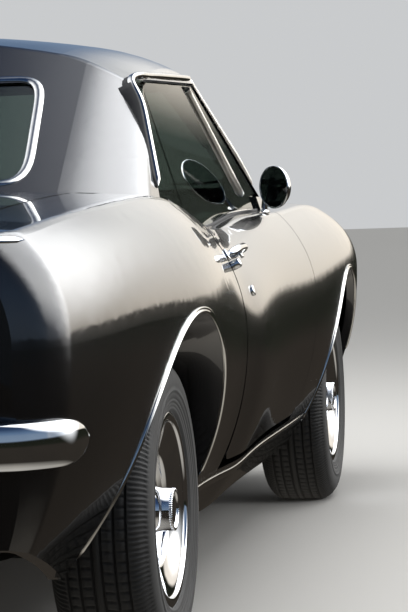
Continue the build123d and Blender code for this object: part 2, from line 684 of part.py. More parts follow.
rail_y = (300, 360)
arm_z = (168, 447)
ball_gap = 0.3
post_radius = 17
rails = side_prism([(1640, 160), (2060, 160), (2200, 206), (radiator_x + 60, 206), (radiator_x + 60, rail_top_z),
                    (2190, rail_top_z), (2050, 230), (1640, 230)], *rail_y)
lower_arm = plan_prism([(front_axle_x - 150, 330), (front_axle_x - 90, 330), (front_axle_x, 450),
                        (front_axle_x + 90, 330), (front_axle_x + 150, 330), (front_axle_x + 28, kingpin_y + 20),
                        (front_axle_x - 28, kingpin_y + 20)], arm_z[0] - 10, arm_z[0] + 10)
upper_arm = plan_prism([(front_axle_x - 125, 350), (front_axle_x - 95, 350), (front_axle_x, 630),
                        (front_axle_x + 95, 350), (front_axle_x + 125, 350), (front_axle_x + 26, kingpin_y + 20),
                        (front_axle_x - 26, kingpin_y + 20)], arm_z[1] - 8, arm_z[1] + 8)
tower = block(front_axle_x - 120, front_axle_x + 120, 310, 350, 290, 560)
spring = Pos(front_axle_x, 505, (arm_z[0] + 600) / 2) * Cylinder(34, 600 - arm_z[0])
tower_top = block(front_axle_x - 120, front_axle_x + 120, 310, 540, 560, 620)
corner = rails + lower_arm + block(front_axle_x - 150, front_axle_x + 150, 300, 360, arm_z[0] - 10, 230)
corner = corner + upper_arm + tower + tower_top + spring
subframe = corner + mirror(corner, Plane.XZ) + block(front_axle_x - 90, front_axle_x + 90, -320, 320, 176, 250)
keep("front_subframe", subframe)

# Knuckles with brake drums

disc_y = -4
disc_back_y = disc_y - 9
hub_face_y = wheel_y + disc_back_y - seat_gap
post = Pos(front_axle_x, kingpin_y, (arm_z[0] + arm_z[1]) / 2) * Cylinder(post_radius, arm_z[1] - arm_z[0] - 20 - 2 * ball_gap)
spindle = cross_rod(front_axle_x, tyre_radius, 24, kingpin_y, hub_face_y - 50)
drum = cross_rod(front_axle_x, tyre_radius, drum_radius, hub_face_y - 54, hub_face_y)
steering_arm = block(front_axle_x - 110, front_axle_x, kingpin_y - 12, kingpin_y + 12, 236, 256)
knuckle = post + spindle + drum + steering_arm
for name, solid in zip(("knuckle_left", "knuckle_right"), both_sides(knuckle)):
    keep(name, solid)

# Rear axle, leaf springs and propeller shaft

axle_z = tyre_radius
spring_y = (490, 550)
axle = cross_rod(0, axle_z, 36, -hub_face_y + 20, hub_face_y - 20)
axle = axle + Pos(0, 0, axle_z) * Sphere(118) + Pos(120, 0, axle_z) * Rot(0, 90, 0) * Cylinder(52, 90)
for end in both_sides(cross_rod(0, axle_z, drum_radius, hub_face_y - 54, hub_face_y)):
    axle = axle + end
keep("rear_axle", axle)
leaf = make_face([ThreePointArc((-700, 330), (0, 232), (590, 310)), Line((590, 310), (590, 334)),
                  ThreePointArc((590, 334), (0, 256), (-700, 354)), Line((-700, 354), (-700, 330))])
leaf_plane = Plane(origin=(0, spring_y[1], 0), x_dir=(1, 0, 0), z_dir=(0, -1, 0))
leaf = extrude(leaf_plane * leaf, spring_y[1] - spring_y[0])
clamp = block(-50, 50, spring_y[0] - 8, spring_y[1] + 8, 220, axle_z - 20)
hanger_front = block(540, 598, spring_y[0], spring_y[1], 300, step_z)
hanger_rear = block(-720, -670, spring_y[0], spring_y[1], 320, 420)
leaf_spring = cut_down(leaf + clamp + hanger_front + hanger_rear, axle, floor)
keep("leaf_springs", *both_sides(leaf_spring))
shaft = Pos((170 + 1476) / 2, 0, 318) * Rot(0, 90, 0) * Cylinder(37, 1476 - 170)
keep("driveshaft", shaft)

# Wheels: deep rims with five spokes and a tall centre cap, on ribbed tyres

half_tyre = tyre_width / 2
half_rim = rim_width / 2
tyre_profile = [(rim_radius - 4, half_rim + 0.3), (rim_radius + 30, half_tyre - 6), (tyre_radius - 50, half_tyre),
                (tyre_radius - 16, half_tyre - 12), (tyre_radius - 2, half_tyre - 30), (tyre_radius, 34),
                (tyre_radius - 7, 30), (tyre_radius - 7, 22), (tyre_radius, 18)]
tread_half = tyre_profile + [(r, -y) for r, y in reversed(tyre_profile)]


def turned(points):
    """Ring turned about the wheel's axle from (radius, offset) points."""
    return revolve(make_face(Polyline(*points, close=True)), Axis.Y, 360)


tyre = turned(tread_half)
barrel_radius = rim_radius - 30
face_thickness = 8
dish_radius = 111
dish_depth = 27
recess_depth = 48
recess_radius = 104
cap_radius = 42
cap_rise = 8
boss_radius = 60
dish_y = half_rim - dish_depth
floor_y = half_rim - recess_depth
rim_profile = [(0, half_rim + cap_rise), (cap_radius - 4, half_rim + cap_rise), (cap_radius, half_rim + cap_rise - 4),
               (cap_radius, dish_y), (cap_radius + 11, floor_y + 3), (boss_radius, floor_y), (recess_radius, floor_y),
               (recess_radius + 4, dish_y - 3), (dish_radius, dish_y), (150, half_rim - 14), (174, half_rim - 6),
               (177, half_rim), (rim_radius - 4.3, half_rim), (rim_radius - 4.3, -half_rim), (rim_radius - 22, -half_rim),
               (barrel_radius, 24 - half_rim), (barrel_radius, half_rim - 16), (dish_radius + 1, dish_y - face_thickness),
               (dish_radius + 1, floor_y - face_thickness), (boss_radius, floor_y - face_thickness),
               (boss_radius, disc_back_y), (0, disc_back_y)]
rim = turned(rim_profile)
window_count = 5
window_radius = 18
window = Pos((boss_radius + recess_radius) / 2, 0, 0) * Rot(90, 0, 0) * Cylinder(window_radius, 4 * recess_depth)
for turn in range(window_count):
    rim = rim - Rot(0, turn * 360 / window_count, 0) * window
Corner = namedtuple("Corner", "name x side")
corners = [Corner("front_left", front_axle_x, 1), Corner("front_right", front_axle_x, -1),
           Corner("rear_left", 0, 1), Corner("rear_right", 0, -1)]
for place in corners:
    turn = Rot(0, 0, 0) if place.side > 0 else Rot(0, 0, 180)
    at = Pos(place.x, place.side * wheel_y, tyre_radius)
    keep("tyre_" + place.name, at * turn * tyre)
    keep("rim_" + place.name, at * turn * rim)

# Interior: dashboard, steering, seats

seat_y = 395
seat_half = 230
dash = side_prism([(firewall_x - 17, 560), (firewall_x - 17, 870), (1880, 872), (1770, 850), (1770, 700),
                   (1850, 560)], -door_inner_y + 12, door_inner_y - 12, 14) & hull_inside
keep("dashboard", cut_down(dash, cowl))
wheel_centre = (1400, seat_y, 800)
rake = 24
steer_axis = (-math.cos(math.radians(rake)), 0, math.sin(math.radians(rake)))
steer_plane = Plane(origin=wheel_centre, x_dir=(0, 1, 0), z_dir=steer_axis)
steer_rim = steer_plane * Torus(196, 11)
steer_hub = steer_plane * Pos(0, 0, -20) * Cylinder(34, 40)
steer_spokes = steer_plane * Pos(0, 0, -12) * Box(380, 34, 8)
keep("steering_wheel", steer_rim + steer_hub + steer_spokes)
column_length = 480
column = steer_plane * Pos(0, 0, -40.3 - column_length / 2) * Cylinder(28, column_length)
keep("steering_column", column - dash)


def cushion(points, y0, y1, radius=30):
    """Seat block from its side view, with rounded corners."""
    return side_prism(points, y0, y1, radius)


seat_base = cushion([(960, 300), (1440, 320), (1460, 470), (960, 440)], seat_y - seat_half, seat_y + seat_half)
seat_back = cushion([(960, 400), (1010, 600), (900, 930), (800, 930), (850, 400)], seat_y - seat_half + 4, seat_y + seat_half - 4)
seat_rail = block(1000, 1400, seat_y - 200, seat_y - 160, floor_z + floor_thickness, 310) \
    + block(1000, 1400, seat_y + 160, seat_y + 200, floor_z + floor_thickness, 310)
seat = seat_base + seat_back + seat_rail
keep("front_seats", *both_sides(seat))
pan_z = step_z + floor_thickness
rear_cushion = cushion([(290, pan_z), (610, pan_z), (650, 410), (742, 410), (748, 500), (330, 560)], -570, 570, 14)
rear_back = cushion([(bulkhead_x + 0.5, 490), (330, 520), (180, 880), (bulkhead_x + 0.5, 880)], -570, 570, 20)
rear_seat = cut_down(rear_cushion + rear_back, floor, deck_panel, tunnel(tunnel_half + 1, tunnel_top_z + 1))
keep("rear_seat", rear_seat)

def export_all():
    """Write one file for each node, moved so that X = 0 is midway along the car."""
    for name, solids in nodes.items():
        moved = [Pos(-part_centre_x, 0, 0) * solid for solid in solids]
        shape = moved[0] if len(moved) == 1 else Compound(children=moved)
        export_step(shape, os.path.join(out_dir, name + ".step"))


export_all()
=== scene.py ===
"""A black two-door hardtop coupe of the late 1960s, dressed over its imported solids."""

import json
import logging
from dataclasses import dataclass, field
from enum import Enum
from math import atan2, cos, dist, pi, radians, sin, sqrt
from typing import Callable, Iterable, Optional, Sequence

import bpy
from mathutils import Matrix, Vector
from mathutils.bvhtree import BVHTree

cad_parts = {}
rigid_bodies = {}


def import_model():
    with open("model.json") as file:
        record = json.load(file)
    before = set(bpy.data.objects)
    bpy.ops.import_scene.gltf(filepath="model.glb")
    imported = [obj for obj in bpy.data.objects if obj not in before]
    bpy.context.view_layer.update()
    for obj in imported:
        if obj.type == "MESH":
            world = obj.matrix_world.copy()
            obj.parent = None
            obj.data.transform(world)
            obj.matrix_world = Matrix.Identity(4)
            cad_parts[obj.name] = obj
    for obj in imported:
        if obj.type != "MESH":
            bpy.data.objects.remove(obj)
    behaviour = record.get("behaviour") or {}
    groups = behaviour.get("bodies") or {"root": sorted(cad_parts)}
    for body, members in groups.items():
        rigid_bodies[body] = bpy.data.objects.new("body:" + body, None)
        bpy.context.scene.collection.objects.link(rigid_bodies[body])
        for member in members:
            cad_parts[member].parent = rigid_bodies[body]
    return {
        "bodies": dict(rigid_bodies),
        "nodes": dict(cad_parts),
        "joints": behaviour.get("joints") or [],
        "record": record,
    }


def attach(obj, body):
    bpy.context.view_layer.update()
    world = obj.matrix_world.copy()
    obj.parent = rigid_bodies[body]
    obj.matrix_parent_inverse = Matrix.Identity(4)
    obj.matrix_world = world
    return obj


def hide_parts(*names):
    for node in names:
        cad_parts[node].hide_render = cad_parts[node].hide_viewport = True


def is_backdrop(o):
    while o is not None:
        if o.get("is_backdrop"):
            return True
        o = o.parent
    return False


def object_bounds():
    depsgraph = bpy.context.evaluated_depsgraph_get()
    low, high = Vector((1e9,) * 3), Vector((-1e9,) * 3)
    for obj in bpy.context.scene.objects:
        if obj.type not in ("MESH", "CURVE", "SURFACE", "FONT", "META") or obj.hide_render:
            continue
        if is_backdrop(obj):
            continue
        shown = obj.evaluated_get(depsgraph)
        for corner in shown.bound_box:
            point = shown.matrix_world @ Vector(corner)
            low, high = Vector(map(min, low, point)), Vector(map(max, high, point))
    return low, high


log = logging.getLogger("coupe")

Point = tuple[float, float, float]
Pair = tuple[float, float]
Line = tuple[Pair, ...]
Profile = Sequence[Pair]
Laid = tuple[list[Vector], list[Vector]]
Found = Optional[tuple[Vector, Vector]]
Piece = bpy.types.Object
Socket = bpy.types.NodeSocket
Tree = bpy.types.NodeTree

MM = 0.001
WHEELBASE = 2.746
FRONT_OVERHANG = 0.932
REAR_OVERHANG = 1.013
PART_CENTRE = (WHEELBASE + FRONT_OVERHANG - REAR_OVERHANG) / 2
REAR_AXLE = -PART_CENTRE
FRONT_AXLE = WHEELBASE - PART_CENTRE
WHEEL_Y = 0.748
TYRE_RADIUS = 0.307
ARCH_RADIUS = 0.382
ARCH_CENTRE_Z = 0.314
# Where rays start outside the car, and the least radius at the middle of a turned face
BEYOND_SIDE = 1.6
BEYOND_TOP = 2.0
BEYOND_END = 3.2
CENTRE_RADIUS = 0.0001
# What every finish shares: octaves of its grain and relief, the grain's two stops, samples of its rounded edges
GRAIN_DETAIL = 4.0
RELIEF_DETAIL = 3.0
GRAIN_STOPS = (0.35, 0.68)
EDGE_SAMPLES = 4


class Side(Enum):
    """Which side of the car a piece is on."""

    LEFT = 1
    RIGHT = -1

    @property
    def sign(self) -> int:
        """Sign of Y on this side."""
        return self.value

    @property
    def word(self) -> str:
        """The side's name, as node names write it."""
        return self.name.lower()


class End(Enum):
    """Which end of the car a piece is at, as the sign of X."""

    NOSE = 1
    TAIL = -1


class View(Enum):
    """Where a flat line is seen from when it is laid on the skin."""

    SIDE = "side"
    ABOVE = "above"
    END = "end"


def from_axle(x: float) -> float:
    """Turn a length measured forward from the rear axle into the frame's X."""
    return x + REAR_AXLE


def on_side(point: Point, side: Side) -> Vector:
    """Turn a left-hand point, x from the rear axle, into its place in the frame on a side."""
    return Vector((from_axle(point[0]), side.sign * point[1], point[2]))


# Node materials

def linear(colour: str) -> tuple[float, float, float, float]:
    """Turn an sRGB hex colour into linear RGBA.

    Args:
        colour: Six hex digits, such as "1A1B1D".

    Returns:
        The linear red, green and blue, and an alpha of 1.
    """
    channels = [int(colour[i:i + 2], 16) / 255 for i in (0, 2, 4)]
    return tuple(c / 12.92 if c <= 0.04045 else ((c + 0.055) / 1.055) ** 2.4 for c in channels) + (1.0,)


def add_node(tree: Tree, kind: str, settings: Optional[dict] = None,
             links: Optional[dict] = None) -> bpy.types.Node:
    """Add one shader node.

    Args:
        tree: The material's node tree.
        kind: The node's Blender type.
        settings: Values for its sockets, or for its attributes where no socket has that name.
        links: For each input socket, the output socket that feeds it.

    Returns:
        The new node.
    """
    node = tree.nodes.new(kind)
    for name, value in (settings or {}).items():
        if isinstance(name, int) or name in node.inputs:
            node.inputs[name].default_value = value
        else:
            setattr(node, name, value)
    for name, output in (links or {}).items():
        tree.links.new(output, node.inputs[name])
    return node


@dataclass(frozen=True)
class Finish:
    """A material with one Principled shader, broken up by fine noise.

    Attributes:
        name: The material's name.
        colour: Its sRGB hex colour.
        second: The colour that its grain varies to, if any.
        metallic: 1 for a metal.
        roughness: Roughness of its base.
        rough_spread: How far the grain varies that.
        ior: Index of refraction; a metal keeps the default.
        coat: Weight of its clear coat.
        coat_roughness: Roughness of that.
        sheen: Weight of its sheen.
        transmission: 1 for clear glass.
        upright: What the shading normal's Z is multiplied by.
        grain_mm: Size of its grain.
        bump_mm: Height of its relief.
        bump_grain_mm: Size of the relief's grain.
        edge_mm: Radius that its edges look rounded by.
        slot: The record's material slot; not used.
    """

    name: str
    colour: str
    second: str = ""
    metallic: float = 0.0
    roughness: float = 0.5
    rough_spread: float = 0.0
    ior: float = 1.5
    coat: float = 0.0
    coat_roughness: float = 0.03
    sheen: float = 0.0
    transmission: float = 0.0
    upright: float = 1.0
    grain_mm: float = 40.0
    bump_mm: float = 0.0
    bump_grain_mm: float = 0.0
    edge_mm: float = 0.0
    slot: str = ""

    def make(self) -> bpy.types.Material:
        """Build the node tree, or return the material if it is there already.

        Returns:
            The material.
        """
        if self.name in bpy.data.materials:
            return bpy.data.materials[self.name]
        material = bpy.data.materials.new(self.name)
        material.use_nodes = True
        tree = material.node_tree
        shader = tree.nodes["Principled BSDF"]
        for socket, value in (("Base Color", linear(self.colour)), ("Metallic", self.metallic),
                              ("Roughness", self.roughness), ("IOR", self.ior), ("Coat Weight", self.coat),
                              ("Coat Roughness", self.coat_roughness), ("Sheen Weight", self.sheen),
                              ("Transmission Weight", self.transmission)):
            shader.inputs[socket].default_value = value
        place = add_node(tree, "ShaderNodeTexCoord").outputs["Object"]
        if self.second:
            self.add_grain(tree, shader, place)
        normal = self.add_relief(tree, place)
        if normal:
            tree.links.new(normal, shader.inputs["Normal"])
        return material

    def add_grain(self, tree: Tree, shader: bpy.types.Node, place: Socket) -> None:
        """Vary colour and roughness by one noise.

        Args:
            tree: The material's node tree.
            shader: Its Principled shader.
            place: The socket that gives the place on the object, in metres.
        """
        grain = add_node(tree, "ShaderNodeTexNoise", {"Scale": 1000 / self.grain_mm, "Detail": GRAIN_DETAIL},
                         {"Vector": place})
        ramp = add_node(tree, "ShaderNodeValToRGB", {}, {"Fac": grain.outputs["Fac"]})
        for stop, position, colour in zip(ramp.color_ramp.elements, GRAIN_STOPS, (self.colour, self.second)):
            stop.position = position
            stop.color = linear(colour)
        tree.links.new(ramp.outputs["Color"], shader.inputs["Base Color"])
        if self.rough_spread:
            spread = add_node(tree, "ShaderNodeMapRange",
                              {"To Min": self.roughness - self.rough_spread,
                               "To Max": self.roughness + self.rough_spread}, {"Value": grain.outputs["Fac"]})
            tree.links.new(spread.outputs["Result"], shader.inputs["Roughness"])

    def add_relief(self, tree: Tree,
                   place: Socket) -> Optional[Socket]:
        """Add the nodes that bend the shading normal.

        Args:
            tree: The material's node tree.
            place: The socket that gives the place on the object, in metres.

        Returns:
            The socket that gives the normal, or nothing where the surface is plain.
        """
        if self.upright != 1.0:
            own = add_node(tree, "ShaderNodeNewGeometry")
            return add_node(tree, "ShaderNodeVectorMath",
                            {"operation": "MULTIPLY", 1: (1.0, 1.0, self.upright)},
                            {0: own.outputs["Normal"]}).outputs["Vector"]
        normal = None
        if self.edge_mm:
            normal = add_node(tree, "ShaderNodeBevel",
                              {"Radius": self.edge_mm * MM, "samples": EDGE_SAMPLES}).outputs["Normal"]
        if self.bump_mm:
            fine = add_node(tree, "ShaderNodeTexNoise",
                            {"Scale": 1000 / self.bump_grain_mm, "Detail": RELIEF_DETAIL}, {"Vector": place})
            bump = add_node(tree, "ShaderNodeBump", {"Distance": self.bump_mm * MM, "Strength": 1.0},
                            {"Height": fine.outputs["Fac"]})
            if normal:
                tree.links.new(normal, bump.inputs["Normal"])
            normal = bump.outputs["Normal"]
        return normal


# Cellulose enamel, sprayed and polished: nearly black under a clear coat, so that the eye sees what it mirrors.
BLACK_ENAMEL = Finish("black_sprayed_enamel", "050506", "08080A", roughness=0.22, coat=1.0,
                      coat_roughness=0.012, ior=1.52, grain_mm=300, slot="paint")
# Nickel and chrome plate on pressed steel: mirror bright, faintly blue, with a slightly uneven polish.
CHROME_PLATE = Finish("chrome_plated_steel", "D9DCE0", "E4E6E8", metallic=1.0, roughness=0.045,
                      rough_spread=0.015, grain_mm=60, edge_mm=0.6, slot="chrome")
# Stainless steel mouldings, rolled and polished: a little warmer and softer than plate, from a fine haze.
STAINLESS_TRIM = Finish("polished_stainless_trim", "CFCFCD", "DBDBD8", metallic=1.0, roughness=0.1,
                        rough_spread=0.03, grain_mm=25, edge_mm=0.5, slot="chrome")
# Aluminium of the pillar rails and vent dividers, brushed and anodised: satin, so that it glows evenly.
SATIN_TRIM = Finish("brushed_anodised_aluminium", "E2DED5", "EAE7E0", metallic=1.0, roughness=0.5,
                    rough_spread=0.05, grain_mm=20, slot="chrome")
# Chrome plate on the polished wheels and caps: the brightest metal on the car.
WHEEL_CHROME = Finish("chrome_plated_wheel", "DDE0E5", "E8E9EB", metallic=1.0, roughness=0.035,
                      rough_spread=0.012, grain_mm=40, slot="rim_chrome")
# Iron of the knuckles, drums and engine, cast in sand: dark and dull. The sand's grain is drawn at 2.5 mm,
# coarser than it is, so that it shows.
CAST_IRON = Finish("sand_cast_iron", "2B2927", "3A3633", metallic=0.6, roughness=0.62, rough_spread=0.08,
                   grain_mm=12, bump_mm=0.25, bump_grain_mm=2.5, slot="cast_iron")
# Tyre rubber with carbon black, vulcanised in its mould: dark grey and dull, a little brown with dust.
TYRE_RUBBER = Finish("vulcanised_tyre_rubber", "0B0B0A", "141311", roughness=0.68, rough_spread=0.1,
                     grain_mm=55, bump_mm=0.08, bump_grain_mm=1.4, sheen=0.05, slot="tyre")
# Clear safety glass, rolled flat, bent and tempered: faintly green, and dark where the cabin is behind it.
WINDOW_GLASS = Finish("tempered_window_glass", "8E9C94", roughness=0.0, ior=1.52, transmission=1.0,
                      slot="glass")
# The same for the side windows, with the shading normal turned down, so that they mirror what stands low.
SIDE_GLASS = Finish("tempered_side_glass", "8E9C94", roughness=0.0, ior=1.52, transmission=1.0, upright=-0.35,
                    slot="glass")
# Headlamp glass, pressed in a mould: clear, with soft ripples 9 mm wide that break up the reflector behind it.
LENS_GLASS = Finish("pressed_lens_glass", "F4F7F7", roughness=0.03, ior=1.52, transmission=1.0, bump_mm=0.3,
                    bump_grain_mm=9, slot="lamp_glass")
# Acrylic of the tail lamps, moulded and glossy: deep red, with a slight ripple.
RED_ACRYLIC = Finish("red_moulded_acrylic", "6E0608", "8A0A0C", roughness=0.1, coat=0.6, ior=1.49,
                     grain_mm=120, bump_mm=0.05, bump_grain_mm=3, slot="lamp_red")
# Rubber weatherstrip, extruded: matt and slightly blue-grey. Its skin is drawn coarser than it is, to show.
WEATHERSTRIP = Finish("extruded_weatherstrip_rubber", "0C0C0D", "131314", roughness=0.7, grain_mm=30,
                      bump_mm=0.05, bump_grain_mm=2, slot="interior_plastic")
# Chassis black on pressed steel, brushed on: satin, with brush marks 4 mm apart, and dusty in patches.
CHASSIS_PAINT = Finish("chassis_black_paint", "101010", "1D1B19", roughness=0.55, rough_spread=0.12,
                       grain_mm=90, bump_mm=0.15, bump_grain_mm=4, edge_mm=1.5, slot="chassis_paint")
# Enamel of the grille, sprayed satin black, so that its bars stand out by their rounded edges alone.
GRILLE_ENAMEL = Finish("satin_black_grille", "0B0B0C", "151516", roughness=0.38, coat=0.2, grain_mm=60,
                       edge_mm=0.8, slot="grille_metal")
# Aluminised steel of the exhaust and the fuel tank, rolled and welded: greyed unevenly by heat and weather.
EXHAUST_STEEL = Finish("aluminised_steel_pipe", "77736C", "8E8A83", metallic=0.9, roughness=0.42,
                       rough_spread=0.1, grain_mm=35, bump_mm=0.05, bump_grain_mm=3, slot="steel_pipe")
# Vinyl of the seats and door cards, embossed: soft, with a leather grain 1.6 mm wide.
SEAT_VINYL = Finish("grained_black_vinyl", "121213", "1B1B1C", roughness=0.46, rough_spread=0.06, grain_mm=70,
                    bump_mm=0.22, bump_grain_mm=1.6, sheen=0.12, slot="upholstery")
# Headliner cloth, woven and perforated every 2.5 mm: dull and soft.
HEADLINER_CLOTH = Finish("perforated_headliner_cloth", "2A2A2B", "343435", roughness=0.9, grain_mm=6,
                         bump_mm=0.3, bump_grain_mm=2.5, sheen=0.2, slot="upholstery")
# Dashboard plastic, moulded with a grain 1.4 mm wide, which keeps it matt against glare.
DASH_PLASTIC = Finish("moulded_dash_plastic", "111112", "19191A", roughness=0.55, grain_mm=45, bump_mm=0.12,
                      bump_grain_mm=1.4, slot="interior_plastic")
# Nylon carpet, tufted in loops 4 mm wide: deep black with a rough nap.
CARPET = Finish("loop_pile_carpet", "0D0D0E", "19191A", roughness=0.95, grain_mm=9, bump_mm=1.2,
                bump_grain_mm=4, sheen=0.3, slot="upholstery")
# Mirror glass, silvered behind, drawn as a clear coat over a near-black base: the dark base is a painted dark
# reflection of the shaded ground behind the car.
MIRROR_GLASS = Finish("silvered_mirror_glass", "060708", roughness=0.02, coat=1.0, coat_roughness=0.0,
                      slot="glass")
# Painted studio floor, matt: an IOR close to 1 takes its sheen away.
STUDIO_FLOOR = Finish("pale_studio_floor", "CCCAC6", roughness=1.0, ior=1.02)
# White enamel of the blank number plate and the dial marks, stoved on aluminium: clean and even.
PLATE_ENAMEL = Finish("stoved_white_plate_enamel", "D9D9D4", "E0DFDA", roughness=0.32, coat=0.3, grain_mm=80,
                      slot="paint")

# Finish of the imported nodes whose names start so; all others are enamelled.
NODE_FINISHES: tuple[tuple[Finish, tuple[str, ...]], ...] = (
    (WINDOW_GLASS, ("windshield", "rear_window")), (SIDE_GLASS, ("quarter_glass", "door_glass")),
    (LENS_GLASS, ("headlamps",)), (RED_ACRYLIC, ("tail_lamps",)), (GRILLE_ENAMEL, ("grille",)),
    (CHROME_PLATE, ("front_bumper", "rear_bumper", "mirror")), (TYRE_RUBBER, ("tyre",)),
    (WHEEL_CHROME, ("rim",)),
    (CHASSIS_PAINT, ("floor_pan", "inner_fenders", "front_subframe", "leaf_springs", "rear_axle", "driveshaft",
                     "radiator")),
    (EXHAUST_STEEL, ("exhaust", "fuel_tank")), (CAST_IRON, ("engine", "knuckle")),
    (DASH_PLASTIC, ("dashboard", "steering")), (SEAT_VINYL, ("front_seats", "rear_seat")))


# Mesh building

def linked(name: str, data: bpy.types.ID) -> Piece:
    """Make an object and link it to the scene.

    Args:
        name: The object's name.
        data: Its mesh, lamp or camera.

    Returns:
        The object.
    """
    thing = bpy.data.objects.new(name, data)
    bpy.context.scene.collection.objects.link(thing)
    return thing


def new_object(name: str, vertices: Iterable[Sequence[float]], faces: Iterable[Sequence[int]], finish: Finish
               ) -> Piece:
    """Make a mesh object with one material.

    Args:
        name: The piece's name.
        vertices: Corner points in metres.
        faces: Corner numbers of each face.
        finish: Its material.

    Returns:
        The object, linked to the scene.
    """
    mesh = bpy.data.meshes.new(name)
    mesh.from_pydata([tuple(v) for v in vertices], [], [tuple(f) for f in faces])
    mesh.validate()
    mesh.materials.append(finish.make())
    mesh.shade_smooth()
    thing = linked(name, mesh)
    return thing


def grid_faces(rows: int, columns: int, close_rows: bool = False, close_columns: bool = False,
               start: int = 0) -> list[tuple[int, int, int, int]]:
    """List the quads of a grid whose points are numbered row by row.

    Args:
        rows: Rows of points.
        columns: Points in a row.
        close_rows: Whether the last row joins the first.
        close_columns: Whether each row is a ring.
        start: Number of the first point.

    Returns:
        The quads.
    """
    faces = []
    for row in range(rows if close_rows else rows - 1):
        for column in range(columns if close_columns else columns - 1):
            below, beside = (row + 1) % rows, (column + 1) % columns
            faces.append((start + row * columns + column, start + row * columns + beside,
                          start + below * columns + beside, start + below * columns + column))
    return faces


def rounded_profile(corners: Sequence[Sequence[float]], radius: float, steps: int = 3, closed: bool = False,
                    most: float = 0.45) -> list[tuple[float, ...]]:
    """Round the corners of a profile with short arcs.

    Args:
        corners: The profile's points.
        radius: How far from each corner the arc starts.
        steps: Points on each arc, less one.
        closed: Whether the last point joins the first.
        most: Share of the shorter side at a corner that its arc may take.

    Returns:
        The points of the rounded profile.
    """
    points = [Vector(c) for c in corners]
    count = len(points)
    result = []
    for i, here in enumerate(points):
        if not closed and i in (0, count - 1):
            result.append(tuple(here))
            continue
        before, after = points[i - 1], points[(i + 1) % count]
        reach = min(radius, (before - here).length * most, (after - here).length * most)
        first = here + (before - here).normalized() * reach
        last = here + (after - here).normalized() * reach
        for step in range(steps + 1):
            t = step / steps
            result.append(tuple((1 - t) ** 2 * first + 2 * t * (1 - t) * here + t * t * last))
    return result


def turned(name: str, profile: Profile, finish: Finish, segments: int = 96,
           wave: Optional[Callable[[int, int], float]] = None) -> Piece:
    """Turn a profile of (radius, offset) points about the Y axis through the origin.

    Args:
        name: The piece's name.
        profile: Radius and offset along Y, in metres.
        finish: Its material.
        segments: Steps around.
        wave: Extra radius for a profile point and a step round, for ribs and teeth.

    Returns:
        The turned object.
    """
    rows = []
    for step in range(segments):
        angle = 2 * pi * step / segments
        for i, (radius, offset) in enumerate(profile):
            reach = radius + (wave(i, step) if wave else 0.0)
            rows.append((reach * cos(angle), offset, reach * sin(angle)))
    faces = grid_faces(segments, len(profile), close_rows=True)
    return new_object(name, rows, faces, finish)


def resampled(points: Sequence[Sequence[float]], spacing: float, corner: float = 0.0,
              closed: bool = False) -> list[Vector]:
    """Space points evenly along a polyline.

    Args:
        points: The polyline's corners.
        spacing: Distance between the new points.
        corner: How far before each corner its rounding starts.
        closed: Whether the last corner joins the first.

    Returns:
        The evenly spaced points; a closed line's first point isn't repeated.
    """
    line = [Vector(p) for p in points]
    if corner:
        line = [Vector(p) for p in rounded_profile(line, corner, 6, closed)]
    if closed:
        line.append(line[0])
    lengths = [(b - a).length for a, b in zip(line, line[1:])]
    count = max(2, round(sum(lengths) / spacing))
    result = []
    for step in range(count if closed else count + 1):
        reach = sum(lengths) * step / count
        for a, b, length in zip(line, line[1:], lengths):
            if reach <= length + 1e-9:
                result.append(a.lerp(b, reach / length if length else 0.0))
                break
            reach -= length
    return result


def evened(points: Sequence[Vector], passes: int = 4, closed: bool = False) -> list[Vector]:
    """Average each point with its neighbours, several times over; an open line keeps its ends.

    Args:
        points: The line's points.
        passes: How many times.
        closed: Whether the last point joins the first.

    Returns:
        The evened points.
    """
    line = list(points)
    count = len(line)
    for _ in range(passes):
        line = [p if not closed and i in (0, count - 1) else (line[i - 1] + p * 2 + line[(i + 1) % count]) / 4
                for i, p in enumerate(line)]
    return line


def spaced(corners: Profile, spacing: float, corner: float = 0.0, closed: bool = False) -> list[Pair]:
    """Space points evenly along a flat polyline, as resampled does."""
    return [(p.x, p.y) for p in resampled(corners, spacing, corner, closed)]


def evenly(first: Sequence[float], last: Sequence[float], steps: int) -> list[tuple[float, ...]]:
    """Points from the first to the last in equal steps."""
    return [tuple(a + (b - a) * i / steps for a, b in zip(first, last)) for i in range(steps + 1)]


def oval(half_width: float, half_height: float, steps: int, centre: Pair = (0.0, 0.0),
         closed: bool = False) -> list[Pair]:
    """Points of an oval; a closed one repeats its first point."""
    turns = [pi * 2 * k / steps for k in range(steps + int(closed))]
    return [(centre[0] + half_width * cos(a), centre[1] + half_height * sin(a)) for a in turns]


def sweep(name: str, path: Sequence[Vector], outwards: Sequence[Vector], section: Profile, finish: Finish,
          closed: bool = False, taper: int = 0, least: float = 0.05) -> Piece:
    """Run a closed section along a path.

    Args:
        name: The piece's name.
        path: Points along its seat.
        outwards: The surface's outward direction at each point.
        section: Points (across, out); across is to the left of the way along, seen from outside.
        finish: Its material.
        closed: Whether the path is a loop.
        taper: Points at each end over which the section shrinks to a rounded tip.
        least: The section's share that is left at the very tip.

    Returns:
        The moulding.
    """
    count, vertices = len(path), []
    for i, (here, out) in enumerate(zip(path, outwards)):
        before = path[i - 1] if closed or i else here
        after = path[(i + 1) % count] if closed or i < count - 1 else here
        along = (after - before).normalized()
        across = out.cross(along).normalized()
        out = along.cross(across)
        scale = 1.0
        if taper and not closed:
            near = min(i, count - 1 - i, taper) / taper
            scale = max(least, sqrt(1 - (1 - near) ** 2))
        vertices += [here + across * (a * scale) + out * (o * scale) for a, o in section]
    faces: list[tuple[int, ...]] = list(grid_faces(count, len(section), close_rows=closed, close_columns=True))
    if not closed:
        faces.append(tuple(range(len(section))))
        faces.append(tuple(reversed(range((count - 1) * len(section), count * len(section)))))
    return new_object(name, vertices, faces, finish)


